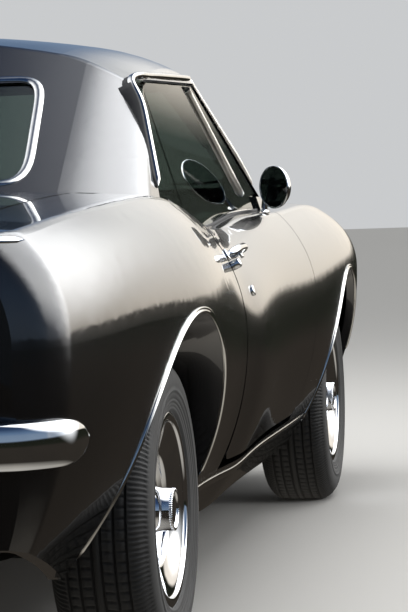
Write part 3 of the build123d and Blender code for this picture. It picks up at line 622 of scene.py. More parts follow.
def mirrored(points: Iterable[Vector], side: Side) -> list[Vector]:
    """The points as they are on the left, or mirrored to the right."""
    return [Vector((p.x, p.y * side.sign, p.z)) for p in points]


def half_round(width: float, height: float, sink: float = 0.003, steps: int = 8) -> list[Pair]:
    """Draw the section of a half-round moulding.

    Args:
        width: Its width.
        height: How far it stands out.
        sink: How deep its foot is sunk into the panel.
        steps: Steps of its arc.

    Returns:
        The section's points (across, out).
    """
    arc = [(-width / 2 * cos(pi * i / steps), height * sin(pi * i / steps))
           for i in range(steps + 1)]
    return [(-width / 2, -sink), (width / 2, -sink)] + arc


@dataclass
class Skin:
    """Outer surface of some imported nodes, felt for with rays so that mouldings sit on it.

    Attributes:
        names: The nodes.
        tree: Search tree of their faces.
    """

    frame: dict
    names: Sequence[str]
    tree: BVHTree = field(init=False)

    def __post_init__(self) -> None:
        """Gather the nodes' faces into one search tree."""
        vertices, faces = [], []
        for name in self.names:
            mesh = self.frame["nodes"][name].data
            start = len(vertices)
            vertices += [v.co.copy() for v in mesh.vertices]
            faces += [[start + i for i in p.vertices] for p in mesh.polygons]
        self.tree = BVHTree.FromPolygons(vertices, faces)

    def touch(self, start: Sequence[float], towards: Sequence[float]) -> Found:
        """Where a ray first meets the skin.

        Args:
            start: Where the ray starts.
            towards: Its direction.

        Returns:
            The point and the outward direction there, or nothing.
        """
        place, normal, _, _ = self.tree.ray_cast(Vector(start), Vector(towards).normalized())
        if place is None:
            return None
        return place, normal if normal.dot(Vector(towards)) < 0 else -normal

    def beside(self, x: float, z: float) -> Found:
        """Where a level ray from the car's left meets the skin."""
        return self.touch((x, BEYOND_SIDE, z), (0, -1, 0))

    def behind(self, y: float, z: float) -> Found:
        """Where a level ray from behind the car meets the skin."""
        return self.touch((-BEYOND_END, y, z), (1, 0, 0))

    def line(self, points: Iterable[Pair], view: View, sign: int = 1, passes: int = 6, closed: bool = False,
             more_even: int = 4) -> Laid:
        """Lay a flat line on the skin.

        Args:
            points: The line in that view: (x, z) from the side, (x, y) from above, (y, z) from an end.
            view: Where it is seen from.
            sign: Sign of the side or the end that it is seen from.
            passes: How often the facets' steps are averaged out.
            closed: Whether the line is a loop.
            more_even: How much oftener that is done for the directions.

        Returns:
            The points on the skin and the outward directions there; points that miss are left out.
        """
        places, normals = [], []
        for a, b in points:
            start, towards = {View.SIDE: ((a, sign * BEYOND_SIDE, b), (0, -sign, 0)),
                              View.ABOVE: ((a, b, BEYOND_TOP), (0, 0, -1)),
                              View.END: ((sign * BEYOND_END, a, b), (-sign, 0, 0))}[view]
            found = self.touch(start, towards)
            if found:
                places.append(found[0])
                normals.append(found[1])
        normals = evened(normals, passes + more_even, closed)
        return evened(places, passes, closed), [n.normalized() for n in normals]


# The body's own curves, as its sections give them, for even highlights over the panels' facets

SectionRow = tuple[float, float, float, float, float, float, float, float]


@dataclass
class BodyForm:
    """Smooth form of the lower body, lofted through its sections.

    Its normals are lent to the panels' faces, whose facets would break up the highlights on black enamel.

    Attributes:
        sill_z: Height of the body's lower edge, in millimetres.
        step: Distance between the form's rings, in millimetres.
        arc_points: Points on the crown, the shoulder, the side and the tuck of half a ring.
        reach: How near the form a face has to lie, in metres, to take its normals.
        facing: Least dot product of the face's own normal with the form's.
        sections: Rows of x, shoulder y and z, waist y and z, crown z, sill y and the shoulder's rounding, in
            millimetres from the rear axle.
        panels: The nodes that take the normals.
        bends: Second derivatives of a spline through each column.
    """

    sill_z: float = 190.0
    step: float = 18.0
    arc_points: tuple[int, int, int, int] = (16, 8, 12, 16)
    reach: float = 0.016
    facing: float = 0.85
    sections: tuple[SectionRow, ...] = (
        (-975, 660, 866, 737, 681, 896, 565, 30), (-945, 667, 869, 744, 682, 899, 570, 30),
        (-925, 680, 870, 758, 683, 901, 583, 30), (-913, 702, 871, 781, 683, 902, 604, 30),
        (-893, 726, 873, 807, 684, 904, 627, 30), (-865, 745, 876, 828, 685, 907, 645, 30),
        (-815, 756, 880, 841, 686, 912, 653, 32), (-695, 764, 890, 858, 690, 924, 655, 34),
        (-350, 780, 914, 890, 700, 944, 665, 42), (0, 788, 930, 914, 690, 956, 700, 50),
        (350, 790, 922, 914, 655, 958, 725, 50), (680, 797, 874, 901, 615, 925, 735, 34),
        (1305, 803, 868, 902, 620, 925, 738, 30), (1930, 806, 876, 905, 640, 938, 738, 30),
        (2350, 804, 888, 908, 662, 944, 735, 32), (2746, 796, 888, 906, 680, 934, 725, 34),
        (3200, 776, 862, 880, 690, 896, 705, 34), (3680, 745, 806, 836, 694, 822, 670, 30))
    panels: tuple[str, ...] = ("quarter_panels", "deck_panel", "tail_panel", "trunk_lid", "hood", "door_left",
                               "door_right", "sills", "cowl", "front_fenders", "nose_panels")
    bends: list[list[float]] = field(init=False)

    def __post_init__(self) -> None:
        """Work out the second derivatives of a natural cubic spline through each column of the sections."""
        xs = [row[0] for row in self.sections]
        count = len(xs)
        self.bends = []
        for column in range(1, len(self.sections[0])):
            values = [row[column] for row in self.sections]
            upper, right = [0.0] * count, [0.0] * count
            for i in range(1, count - 1):
                low, high = xs[i] - xs[i - 1], xs[i + 1] - xs[i]
                pivot = 2 * (low + high) - low * upper[i - 1]
                upper[i] = high / pivot
                turn = 6 * ((values[i + 1] - values[i]) / high - (values[i] - values[i - 1]) / low)
                right[i] = (turn - low * right[i - 1]) / pivot
            bends = [0.0] * count
            for i in range(count - 2, 0, -1):
                bends[i] = right[i] - upper[i] * bends[i + 1]
            self.bends.append(bends)

    def row_at(self, x: float) -> list[float]:
        """Work out the section at a place.

        Args:
            x: Millimetres from the rear axle.

        Returns:
            Its values, in the order of the sections' columns.
        """
        rows = self.sections
        i = max(1, next((n for n, row in enumerate(rows) if row[0] > x), len(rows) - 1))
        here, there = rows[i - 1], rows[i]
        gap = there[0] - here[0]
        b = (x - here[0]) / gap
        a = 1 - b
        return [x] + [a * here[k + 1] + b * there[k + 1]
                      + ((a**3 - a) * bends[i - 1] + (b**3 - b) * bends[i]) * gap**2 / 6
                      for k, bends in enumerate(self.bends)]

    def half_section(self, x: float) -> list[Pair]:
        """Draw half of the section at a place.

        Args:
            x: Millimetres from the rear axle.

        Returns:
            Points (y, z) down its side from the crown to the sill, in millimetres.
        """
        _, shoulder_y, shoulder_z, waist_y, waist_z, crown_z, sill_y, bend = self.row_at(x)
        rise = crown_z - shoulder_z
        crown_r = (shoulder_y**2 + rise**2) / (2 * rise)
        side_r = dist((waist_y, waist_z), (shoulder_y, shoulder_z))**2 / (2 * (waist_y - shoulder_y))
        tuck_r = dist((waist_y, waist_z), (sill_y, self.sill_z))**2 / (2 * (waist_y - sill_y))
        crown_c, side_c = Vector((0, crown_z - crown_r)), Vector((waist_y - side_r, waist_z))
        tuck_c = Vector((waist_y - tuck_r, waist_z))
        r1, r2, gap = crown_r - bend, side_r - bend, (side_c - crown_c).length
        along = (r1**2 - r2**2 + gap**2) / (2 * gap)
        unit = (side_c - crown_c) / gap
        bend_c = crown_c + along * unit + sqrt(r1**2 - along**2) * Vector((-unit.y, unit.x))
        if bend_c.x < 0:
            bend_c = crown_c + along * unit - sqrt(r1**2 - along**2) * Vector((-unit.y, unit.x))
        top = (bend_c - crown_c).normalized()
        side = (bend_c - side_c).normalized()
        points: list[Pair] = []

        def arc(centre: Vector, radius: float, start: float, end: float, count: int) -> None:
            """Add the points of an arc.

            Args:
                centre: Its centre.
                radius: Its radius.
                start: Angle of its first point.
                end: Angle of its last point, which is left out.
                count: How many points.
            """
            for n in range(count):
                turn = start + (end - start) * n / count
                points.append((centre.x + radius * cos(turn), centre.y + radius * sin(turn)))

        top_turn, side_turn = atan2(top.y, top.x), atan2(side.y, side.x)
        on_crown, on_bend, on_side_arc, on_tuck = self.arc_points
        arc(crown_c, crown_r, pi / 2, top_turn, on_crown)
        arc(bend_c, bend, top_turn, side_turn, on_bend)
        arc(side_c, side_r, side_turn, 0.0, on_side_arc)
        arc(tuck_c, tuck_r, 0.0, atan2(self.sill_z - waist_z, sill_y - tuck_c.x), on_tuck)
        points.append((sill_y, self.sill_z))
        return points

    def build(self) -> Piece:
        """Mesh the smooth form.

        Returns:
            Its object, kept out of the scene.
        """
        first, last = self.sections[0][0], self.sections[-1][0]
        count = round((last - first) / self.step)
        vertices, width = [], 0
        for n in range(count + 1):
            x = first + (last - first) * n / count
            half = self.half_section(x)
            ring = [(-y, z) for y, z in reversed(half[1:])] + half
            width = len(ring)
            vertices += [(from_axle(x * MM), y * MM, z * MM) for y, z in ring]
        mesh = bpy.data.meshes.new("body_form")
        mesh.from_pydata(vertices, [], grid_faces(count + 1, width))
        mesh.shade_smooth()
        return bpy.data.objects.new("body_form", mesh)

    def lend_normals(self, frame: dict) -> None:
        """Give each panel a modifier that takes the smooth form's normals where the two coincide.
        """
        form = self.build()
        group = bpy.data.node_groups.new("even_highlights", "GeometryNodeTree")
        group.interface.new_socket("Geometry", in_out="INPUT", socket_type="NodeSocketGeometry")
        group.interface.new_socket("Geometry", in_out="OUTPUT", socket_type="NodeSocketGeometry")
        start = add_node(group, "NodeGroupInput")
        surface = add_node(group, "GeometryNodeObjectInfo", {"Object": form})
        own = add_node(group, "GeometryNodeInputNormal")
        place = add_node(group, "GeometryNodeInputPosition")
        lent = add_node(group, "GeometryNodeSampleNearestSurface", {"data_type": "FLOAT_VECTOR"},
                        {"Mesh": surface.outputs["Geometry"], "Value": own.outputs["Normal"]})
        near = add_node(group, "GeometryNodeSampleNearestSurface", {"data_type": "FLOAT_VECTOR"},
                        {"Mesh": surface.outputs["Geometry"], "Value": place.outputs["Position"]})
        apart = add_node(group, "ShaderNodeVectorMath", {"operation": "DISTANCE"},
                         {0: near.outputs["Value"], 1: place.outputs["Position"]})
        close = add_node(group, "FunctionNodeCompare", {"operation": "LESS_THAN", "B": self.reach},
                         {"A": apart.outputs["Value"]})
        facing = add_node(group, "ShaderNodeVectorMath", {"operation": "DOT_PRODUCT"},
                          {0: lent.outputs["Value"], 1: own.outputs["True Normal"]})
        along = add_node(group, "FunctionNodeCompare", {"operation": "GREATER_THAN", "B": self.facing},
                         {"A": facing.outputs["Value"]})
        both = add_node(group, "FunctionNodeBooleanMath", {"operation": "AND"},
                        {0: close.outputs["Result"], 1: along.outputs["Result"]})
        chosen = add_node(group, "GeometryNodeSwitch", {"input_type": "VECTOR"},
                          {"Switch": both.outputs["Boolean"], "False": own.outputs["Normal"],
                           "True": lent.outputs["Value"]})
        normal = add_node(group, "GeometryNodeSetMeshNormal", {"mode": "FREE", "domain": "CORNER"},
                          {"Mesh": start.outputs["Geometry"], "Custom Normal": chosen.outputs["Output"]})
        add_node(group, "NodeGroupOutput", {}, {"Geometry": normal.outputs["Mesh"]})
        for name in self.panels:
            frame["nodes"][name].modifiers.new("even_highlights", "NODES").node_group = group


# Wheels

class Corner(Enum):
    """The four wheels."""

    FRONT_LEFT = (FRONT_AXLE, Side.LEFT)
    FRONT_RIGHT = (FRONT_AXLE, Side.RIGHT)
    REAR_LEFT = (REAR_AXLE, Side.LEFT)
    REAR_RIGHT = (REAR_AXLE, Side.RIGHT)


@dataclass
class Wheel:
    """Deep chrome wheel with five windows round a tall centre cap, and its ribbed tyre.

    Rim, hub and cap profiles are radius and depth inboard of the rim's outer plane, those of the tyre are radius
    and distance from its middle. All sizes are in millimetres.
    """

    half_rim: float = 92.0
    window_count: int = 5
    floor_depth: float = 48.0
    hub_radius: float = 60.0
    recess_radius: float = 104.0
    window_half_angle: float = radians(23)
    window_half_height: float = 15.5
    window_points: int = 64
    window_squareness: float = 3.2
    window_lip: Line = ((0.0, 0.0), (1.0, 0.0), (1.03, 1.2), (1.06, 4.5), (1.06, 8.0))
    cap_teeth: int = 60
    tooth_depth: float = 1.1
    tread_pitches: int = 184
    shoulder_slot: float = 4.2
    sipe: float = 3.5
    rim_front: Line = (
        (104.0, 48.0), (107, 45), (108.5, 36), (110, 29.5), (112.5, 27.2), (117, 26), (133, 20.4),
        (150, 14.0), (163, 9.2), (171, 6.9), (173.6, 6.2), (174.4, 4.6), (175.0, 1.6), (177, 0.2), (186, -0.4),
        (193.5, 0.0), (196.2, 1.6), (196.8, 4.4), (195.0, 7.0), (191.5, 8.6), (186, 12), (180, 19), (172, 24),
        (166.5, 32), (166.5, 150), (172, 162), (184, 176), (191.5, 179.5), (196.0, 181.5), (196.0, 184.0),
        (190, 184), (180, 172), (163.5, 160), (163.5, 34), (150, 24), (118, 35), (108, 38), (106, 51), (104, 53))
    hub: Line = (
        (60, 48), (58.6, 47.4), (55, 45.6), (51, 40), (47.4, 32), (44.6, 24), (43, 16), (42.2, 6), (42, -2.0))
    cap: Line = (
        (42, -2), (42.6, -3), (42.6, -6.4), (41.2, -7.6), (38.8, -8), (36.4, -7.4), (35.2, -5), (34.6, -3.6),
        (32, -3.4), (31, -4.4), (24, -5.6), (12, -6.6), (0.01, -7))
    side: Line = (
        (193.5, 92.0), (198, 95.2), (201.5, 96.6), (203.0, 96.0), (205.5, 97.0), (210, 98.4), (211.2, 97.7),
        (212.4, 98.9), (218, 100.2), (219.2, 99.4), (220.4, 100.6), (229, 101.6), (232.5, 101.8), (234.0, 103.2),
        (237.6, 103.4), (239.2, 102.0), (246, 102.4), (253, 102.2), (262, 101.0), (270, 98.8), (277, 95.8),
        (283, 92.0), (288.0, 88.0))
    tread: Line = (
        (293.6, 83.6), (299.4, 77.0), (303.6, 69.0), (305.3, 62.0), (305.4, 61.6), (298.4, 60.6), (298.4, 56.8),
        (305.8, 55.8), (306.4, 46), (306.6, 38.4), (306.6, 38.0), (299.0, 37.0), (299.0, 32.8), (306.8, 31.8),
        (307, 22), (307, 12.6), (307, 12.2), (299.6, 11.2), (299.6, 7.0), (307, 6.0), (307, 0.0))

    def spokes(self) -> Piece:
        """Make the recess floor with its rounded windows, each with a turned-in lip.

        Returns:
            The floor.
        """
        middle = (self.hub_radius + self.recess_radius) / 2
        half_height = (self.recess_radius - self.hub_radius) / 2
        sector, power = pi / self.window_count, self.window_squareness
        vertices, faces = [], []
        for window in range(self.window_count):
            start = len(vertices)
            for share, depth in self.window_lip:
                for step in range(self.window_points):
                    turn = 2 * pi * step / self.window_points
                    c, s = cos(turn), sin(turn)
                    if share:
                        stretch = (abs(c) ** power + abs(s) ** power) ** (-1 / power) / share
                        angle = self.window_half_angle * c * stretch
                        radius = self.window_half_height * s * stretch
                    else:
                        stretch = 1 / max(abs(c), abs(s))
                        angle, radius = sector * c * stretch, half_height * s * stretch
                    angle += 2 * sector * window
                    radius += middle
                    y = (self.half_rim - self.floor_depth - depth) * MM
                    vertices.append((radius * MM * cos(angle), y, radius * MM * sin(angle)))
            faces += grid_faces(len(self.window_lip), self.window_points, close_columns=True, start=start)
        return new_object("wheel_spokes", vertices, faces, WHEEL_CHROME)

    def placed(self, profile: Profile) -> list[Pair]:
        """Turn (radius, depth) in millimetres into (radius, y) in metres."""
        return [(radius * MM, (self.half_rim - depth) * MM) for radius, depth in profile]

    def rim(self) -> Piece:
        """Make barrel, bowl, recess floor and hub as one piece.

        Returns:
            The rim.
        """
        rim = turned("rim", self.placed(self.rim_front), WHEEL_CHROME, 128)
        hub = turned("hub", self.placed(self.hub), WHEEL_CHROME, 96)
        return joined("rim_dressed", [rim, hub, self.spokes()])

    def centre_cap(self) -> Piece:
        """Make the tall blank cap with its knurled edge.

        Returns:
            The cap.
        """
        def knurl(point: int, step: int) -> float:
            """Teeth on the cap's edge: two steps of each four are cut back."""
            return -self.tooth_depth * MM if 1 <= point <= 4 and step % 4 in (0, 1) else 0.0

        return turned("cap_dressed", self.placed(self.cap), WHEEL_CHROME, self.cap_teeth * 4, knurl)

    def tyre(self) -> Piece:
        """Make the tyre: rings and a stout rib on its sidewall, and five tread ribs cut by short slots.

        Returns:
            The tyre.
        """
        half = list(self.side) + list(self.tread)
        profile = half + [(r, -y) for r, y in reversed(half[:-1])]
        points = [(r * MM, y * MM) for r, y in profile]
        first, count = len(self.side), len(profile)
        ribs = (first + 7, first + 8, first + 14, first + 15)

        def slots(point: int, step: int) -> float:
            """Depth of the shoulder slots and of the sipes in the ribs.

            Args:
                point: Number of the profile's point.
                step: Step round the tyre, three to a pitch.

            Returns:
                What is added to the radius there.
            """
            near = min(point, count - 1 - point)
            if first - 2 <= near < first + 3 and step % 3 == 0:
                return -self.shoulder_slot * MM
            if near in ribs and step % 6 == (0 if point == near else 3):
                return -self.sipe * MM
            return 0.0

        return turned("tyre_dressed", points, TYRE_RUBBER, self.tread_pitches * 3, slots)

    def build(self) -> None:
        """Make one wheel and set a copy at each corner, on its rolling body."""
        parts = (("rim", self.rim()), ("cap", self.centre_cap()), ("tyre", self.tyre()))
        for corner in Corner:
            x, side = corner.value
            word = corner.name.lower()
            for kind, first in parts:
                piece = linked(f"{kind}_dressed_{word}", first.data)
                piece.location = (x, side.sign * WHEEL_Y, TYRE_RADIUS)
                piece.rotation_euler = (0, 0, 0 if side is Side.LEFT else pi)
                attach(piece, "wheel_" + word)
                if kind != "cap":
                    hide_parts(f"{kind}_{word}")
        for _, first in parts:
            bpy.data.objects.remove(first)


def joined(name: str, parts: Sequence[Piece]) -> Piece:
    """Make one object of several that share a material.

    Args:
        name: The new object's name.
        parts: The objects, which are removed.

    Returns:
        The new object.
    """
    vertices, faces = [], []
    for part in parts:
        start = len(vertices)
        vertices += [part.matrix_world @ v.co for v in part.data.vertices]
        faces += [[start + i for i in p.vertices] for p in part.data.polygons]
    whole = bpy.data.meshes.new(name)
    whole.from_pydata(vertices, [], faces)
    whole.materials.append(parts[0].data.materials[0])
    whole.shade_smooth()
    for part in parts:
        bpy.data.objects.remove(part)
    return linked(name, whole)


def turned_to(piece: Piece, place: Sequence[float], axis: Sequence[float]) -> Piece:
    """Move a piece that was turned about Y, with the move kept in its mesh.

    Args:
        piece: The piece.
        place: Where its origin goes.
        axis: Where its +Y points then.

    Returns:
        The same piece.
    """
    turn = Vector((0, 1, 0)).rotation_difference(Vector(axis)).to_matrix().to_4x4()
    piece.data.transform(Matrix.Translation(place) @ turn)
    return piece


def dome(name: str, place: Sequence[float], axis: Sequence[float], radius: float, rise: float,
         finish: Finish) -> Piece:
    """Make a round button with a rounded edge.

    Args:
        name: The piece's name.
        place: Where it stands.
        axis: The surface's outward direction there.
        radius: Its radius.
        rise: How far its edge stands out; its foot is sunk 2 mm.
        finish: Its material.

    Returns:
        The button.
    """
    shares = ((1.0, 0.55), (0.93, 0.85), (0.75, 1.0), (0.4, 1.06))
    profile = [(radius, -2 * MM)] + [(radius * r, rise * h) for r, h in shares] + [(CENTRE_RADIUS, rise * 1.08)]
    return turned_to(turned(name, profile, finish, 40), place, axis)


def slab(name: str, outline: Profile, origin: Vector, right: Vector, up: Vector, thickness: float,
         finish: Finish, bevel: float = 0.001, corner: float = 0.012) -> Piece:
    """Make a flat plate with rounded corners and a bevelled front edge.

    Args:
        name: The piece's name.
        outline: Its corners, measured right and up from the origin.
        origin: Where it sits.
        right: Direction of the outline's first measure.
        up: Direction of the second.
        thickness: How far it stands off.
        finish: Its material.
        bevel: Width of the bevel.
        corner: Where the corners' rounding starts.

    Returns:
        The plate.
    """
    flat = [Vector(p) for p in rounded_profile(outline, corner, 5, closed=True)]
    middle = sum(flat, Vector((0, 0))) / len(flat)
    out = right.cross(up).normalized()
    rings = ((0.0, 0.0), (0.0, thickness - bevel), (bevel, thickness), (bevel * 3, thickness))
    vertices = []
    for inset, height in rings:
        for point in flat:
            moved = point + (middle - point).normalized() * inset
            vertices.append(origin + right * moved.x + up * moved.y + out * height)
    faces: list[tuple[int, ...]] = list(grid_faces(len(rings), len(flat), close_columns=True))
    faces.append(tuple(range((len(rings) - 1) * len(flat), len(rings) * len(flat))))
    faces.append(tuple(reversed(range(len(flat)))))
    return new_object(name, vertices, faces, finish)


@dataclass
class SideTrim:
    """Bright mouldings along both flanks and round the side windows.

    Lengths are in metres, x from the rear axle; sections are (across, out).

    Attributes:
        skin: The flank that they sit on.
        half_width: The body's own half width, past which no moulding stands out.
    """

    skin: Skin
    half_width: float
    spacing: float = 0.016
    tip: int = 2
    arch_spans: tuple[tuple[str, float, int, int], ...] = (
        ("rear", REAR_AXLE, 3, 187), ("front", FRONT_AXLE, 17, 186))
    arch_steps: int = 110
    arch_reach: float = ARCH_RADIUS + 0.004
    arch_widening: float = 0.003
    arch_tries: int = 10
    arch_section: Line = (
        (-0.005, -0.003), (-0.005, 0.0015), (-0.0038, 0.004), (-0.001, 0.0048), (0.0012, 0.004),
        (0.002, 0.0018), (0.0034, 0.0018), (0.0044, 0.0034), (0.0064, 0.0036), (0.008, 0.0024), (0.0084, -0.002))
    rocker_span: Pair = (0.425, 2.335)
    rocker_z: float = 0.288
    rocker_size: Pair = (0.022, 0.0042)
    rail_line: tuple[Point, ...] = ((0.386, 0.764, 0.95), (0.598, 0.685, 1.199), (1.475, 0.64, 1.226),
                                    (2.042, 0.722, 0.948))
    rail_corner: float = 0.03
    rail_lift: float = 0.03
    rail_out: Point = (0.06, 1.0, 0.38)
    rail_section: Line = (
        (-0.0062, -0.004), (-0.0062, 0.004), (-0.0048, 0.007), (-0.0012, 0.0086), (0.003, 0.008),
        (0.0066, 0.0052), (0.011, -0.006), (0.015, -0.019), (0.015, -0.021), (0.005, -0.021))
    pillar_section: Line = (
        (-0.008, -0.004), (-0.008, 0.01), (-0.0055, 0.013), (0.0000, 0.0138), (0.006, 0.0125),
        (0.009, 0.01), (0.015, -0.004), (0.018, -0.019), (0.018, -0.021), (0.005, -0.021))
    flange_section: Line = ((-0.004, -0.05), (-0.004, -0.002), (0.005, -0.002), (0.005, -0.05))
    inner_seal: Line = ((0.011, -0.045), (0.011, -0.0205), (0.016, -0.0195), (0.0215, -0.0215),
                                    (0.023, -0.026), (0.023, -0.045))
    # Black rubber strip beside the rear pillar's rail; it also stands in for the shade in the gap there, as
    # painted shadow.
    outer_seal: Line = ((-0.015, -0.045), (-0.015, -0.003), (-0.012, -0.0006), (-0.0085, 0.0),
                                    (-0.0055, -0.001), (-0.0055, -0.045))

    def on_both(self, name: str, laid: Laid, section: Profile, finish: Finish, taper: int = 0,
                body: str = "body") -> None:
        """Run one left-hand moulding and its mirror image, neither standing out past the body's own width.

        Args:
            name: The pieces' name, before the side's.
            laid: Points and outward directions on the left.
            section: The moulding's section.
            finish: Its material.
            taper: Points over which each end tapers.
            body: The body they ride on; one that ends in _ gets the side's name.
        """
        for side in Side:
            path, outwards = mirrored(laid[0], side), mirrored(laid[1], side)
            if side is Side.RIGHT:
                path.reverse()
                outwards.reverse()
            piece = sweep(f"{name}_{side.word}", path, outwards, section, finish, taper=taper)
            for vertex in piece.data.vertices:
                vertex.co.y = max(-self.half_width, min(self.half_width, vertex.co.y))
            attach(piece, body + side.word if body.endswith("_") else body)

    def arches(self) -> None:
        """Two-step lip mouldings round the four wheel arches, wider where the lip steps back low down."""
        reaches = [self.arch_reach + self.arch_widening * k for k in range(self.arch_tries)]
        for word, x, first, last in self.arch_spans:
            kept = []
            for i in range(self.arch_steps + 1):
                turn = radians(first + (last - first) * i / self.arch_steps)
                reach = next((r for r in reaches if self.skin.beside(
                    x + r * cos(turn), ARCH_CENTRE_Z + r * sin(turn))), None)
                if reach:
                    kept.append((turn, reach))
            eased = evened([Vector((reach, 0, 0)) for _, reach in kept], 8)
            points = [(x + r.x * cos(turn), ARCH_CENTRE_Z + r.x * sin(turn))
                      for (turn, _), r in zip(kept, eased)]
            self.on_both(f"arch_moulding_{word}", self.skin.line(points, View.SIDE, passes=10),
                         self.arch_section, STAINLESS_TRIM, self.tip)

    def rockers(self) -> None:
        """Bright strip along each sill."""
        points = spaced([(from_axle(x), self.rocker_z) for x in self.rocker_span], self.spacing)
        self.on_both("rocker_moulding", self.skin.line(points, View.SIDE), half_round(*self.rocker_size),
                     STAINLESS_TRIM, self.tip)

    def rails(self) -> None:
        """Drip rail and pillar rail round each side opening, on a black flange between rubber seals; the outer
        seal down the rear pillar also stands in for the shade in the gap beside the rail, as painted shadow.
        """
        path = []
        for p in resampled([on_side(c, Side.LEFT) for c in self.rail_line], self.spacing, self.rail_corner):
            found = self.skin.beside(p.x, p.z)
            if found:
                seat = found[0].y
                path.append(Vector((p.x, max(seat + MM, min(p.y, seat + self.rail_lift)), p.z)))
        path = evened(path, 8)
        outwards = [Vector(self.rail_out).normalized()] * len(path)
        bends = [from_axle(self.rail_line[corner][0]) - before for corner, before in ((1, 0.012), (2, 0.01))]
        rear, front = (next(i for i, p in enumerate(path) if p.x > bend) for bend in bends)
        whole, roof, pillar = slice(None), slice(None, front + 1), slice(front, None)
        for name, part, section, finish, taper in (
                ("drip_rail", roof, self.rail_section, STAINLESS_TRIM, self.tip),
                ("pillar_rail", pillar, self.pillar_section, SATIN_TRIM, self.tip),
                ("rail_flange", whole, self.flange_section, WEATHERSTRIP, 0),
                ("opening_seal", whole, self.inner_seal, WEATHERSTRIP, 0),
                ("pillar_seal", slice(None, rear + 1), self.outer_seal, WEATHERSTRIP, self.tip)):
            self.on_both(name, (path[part], outwards[part]), section, finish, taper)

    def build(self) -> None:
        """Make all of them."""
        self.arches()
        self.rockers()
        self.rails()


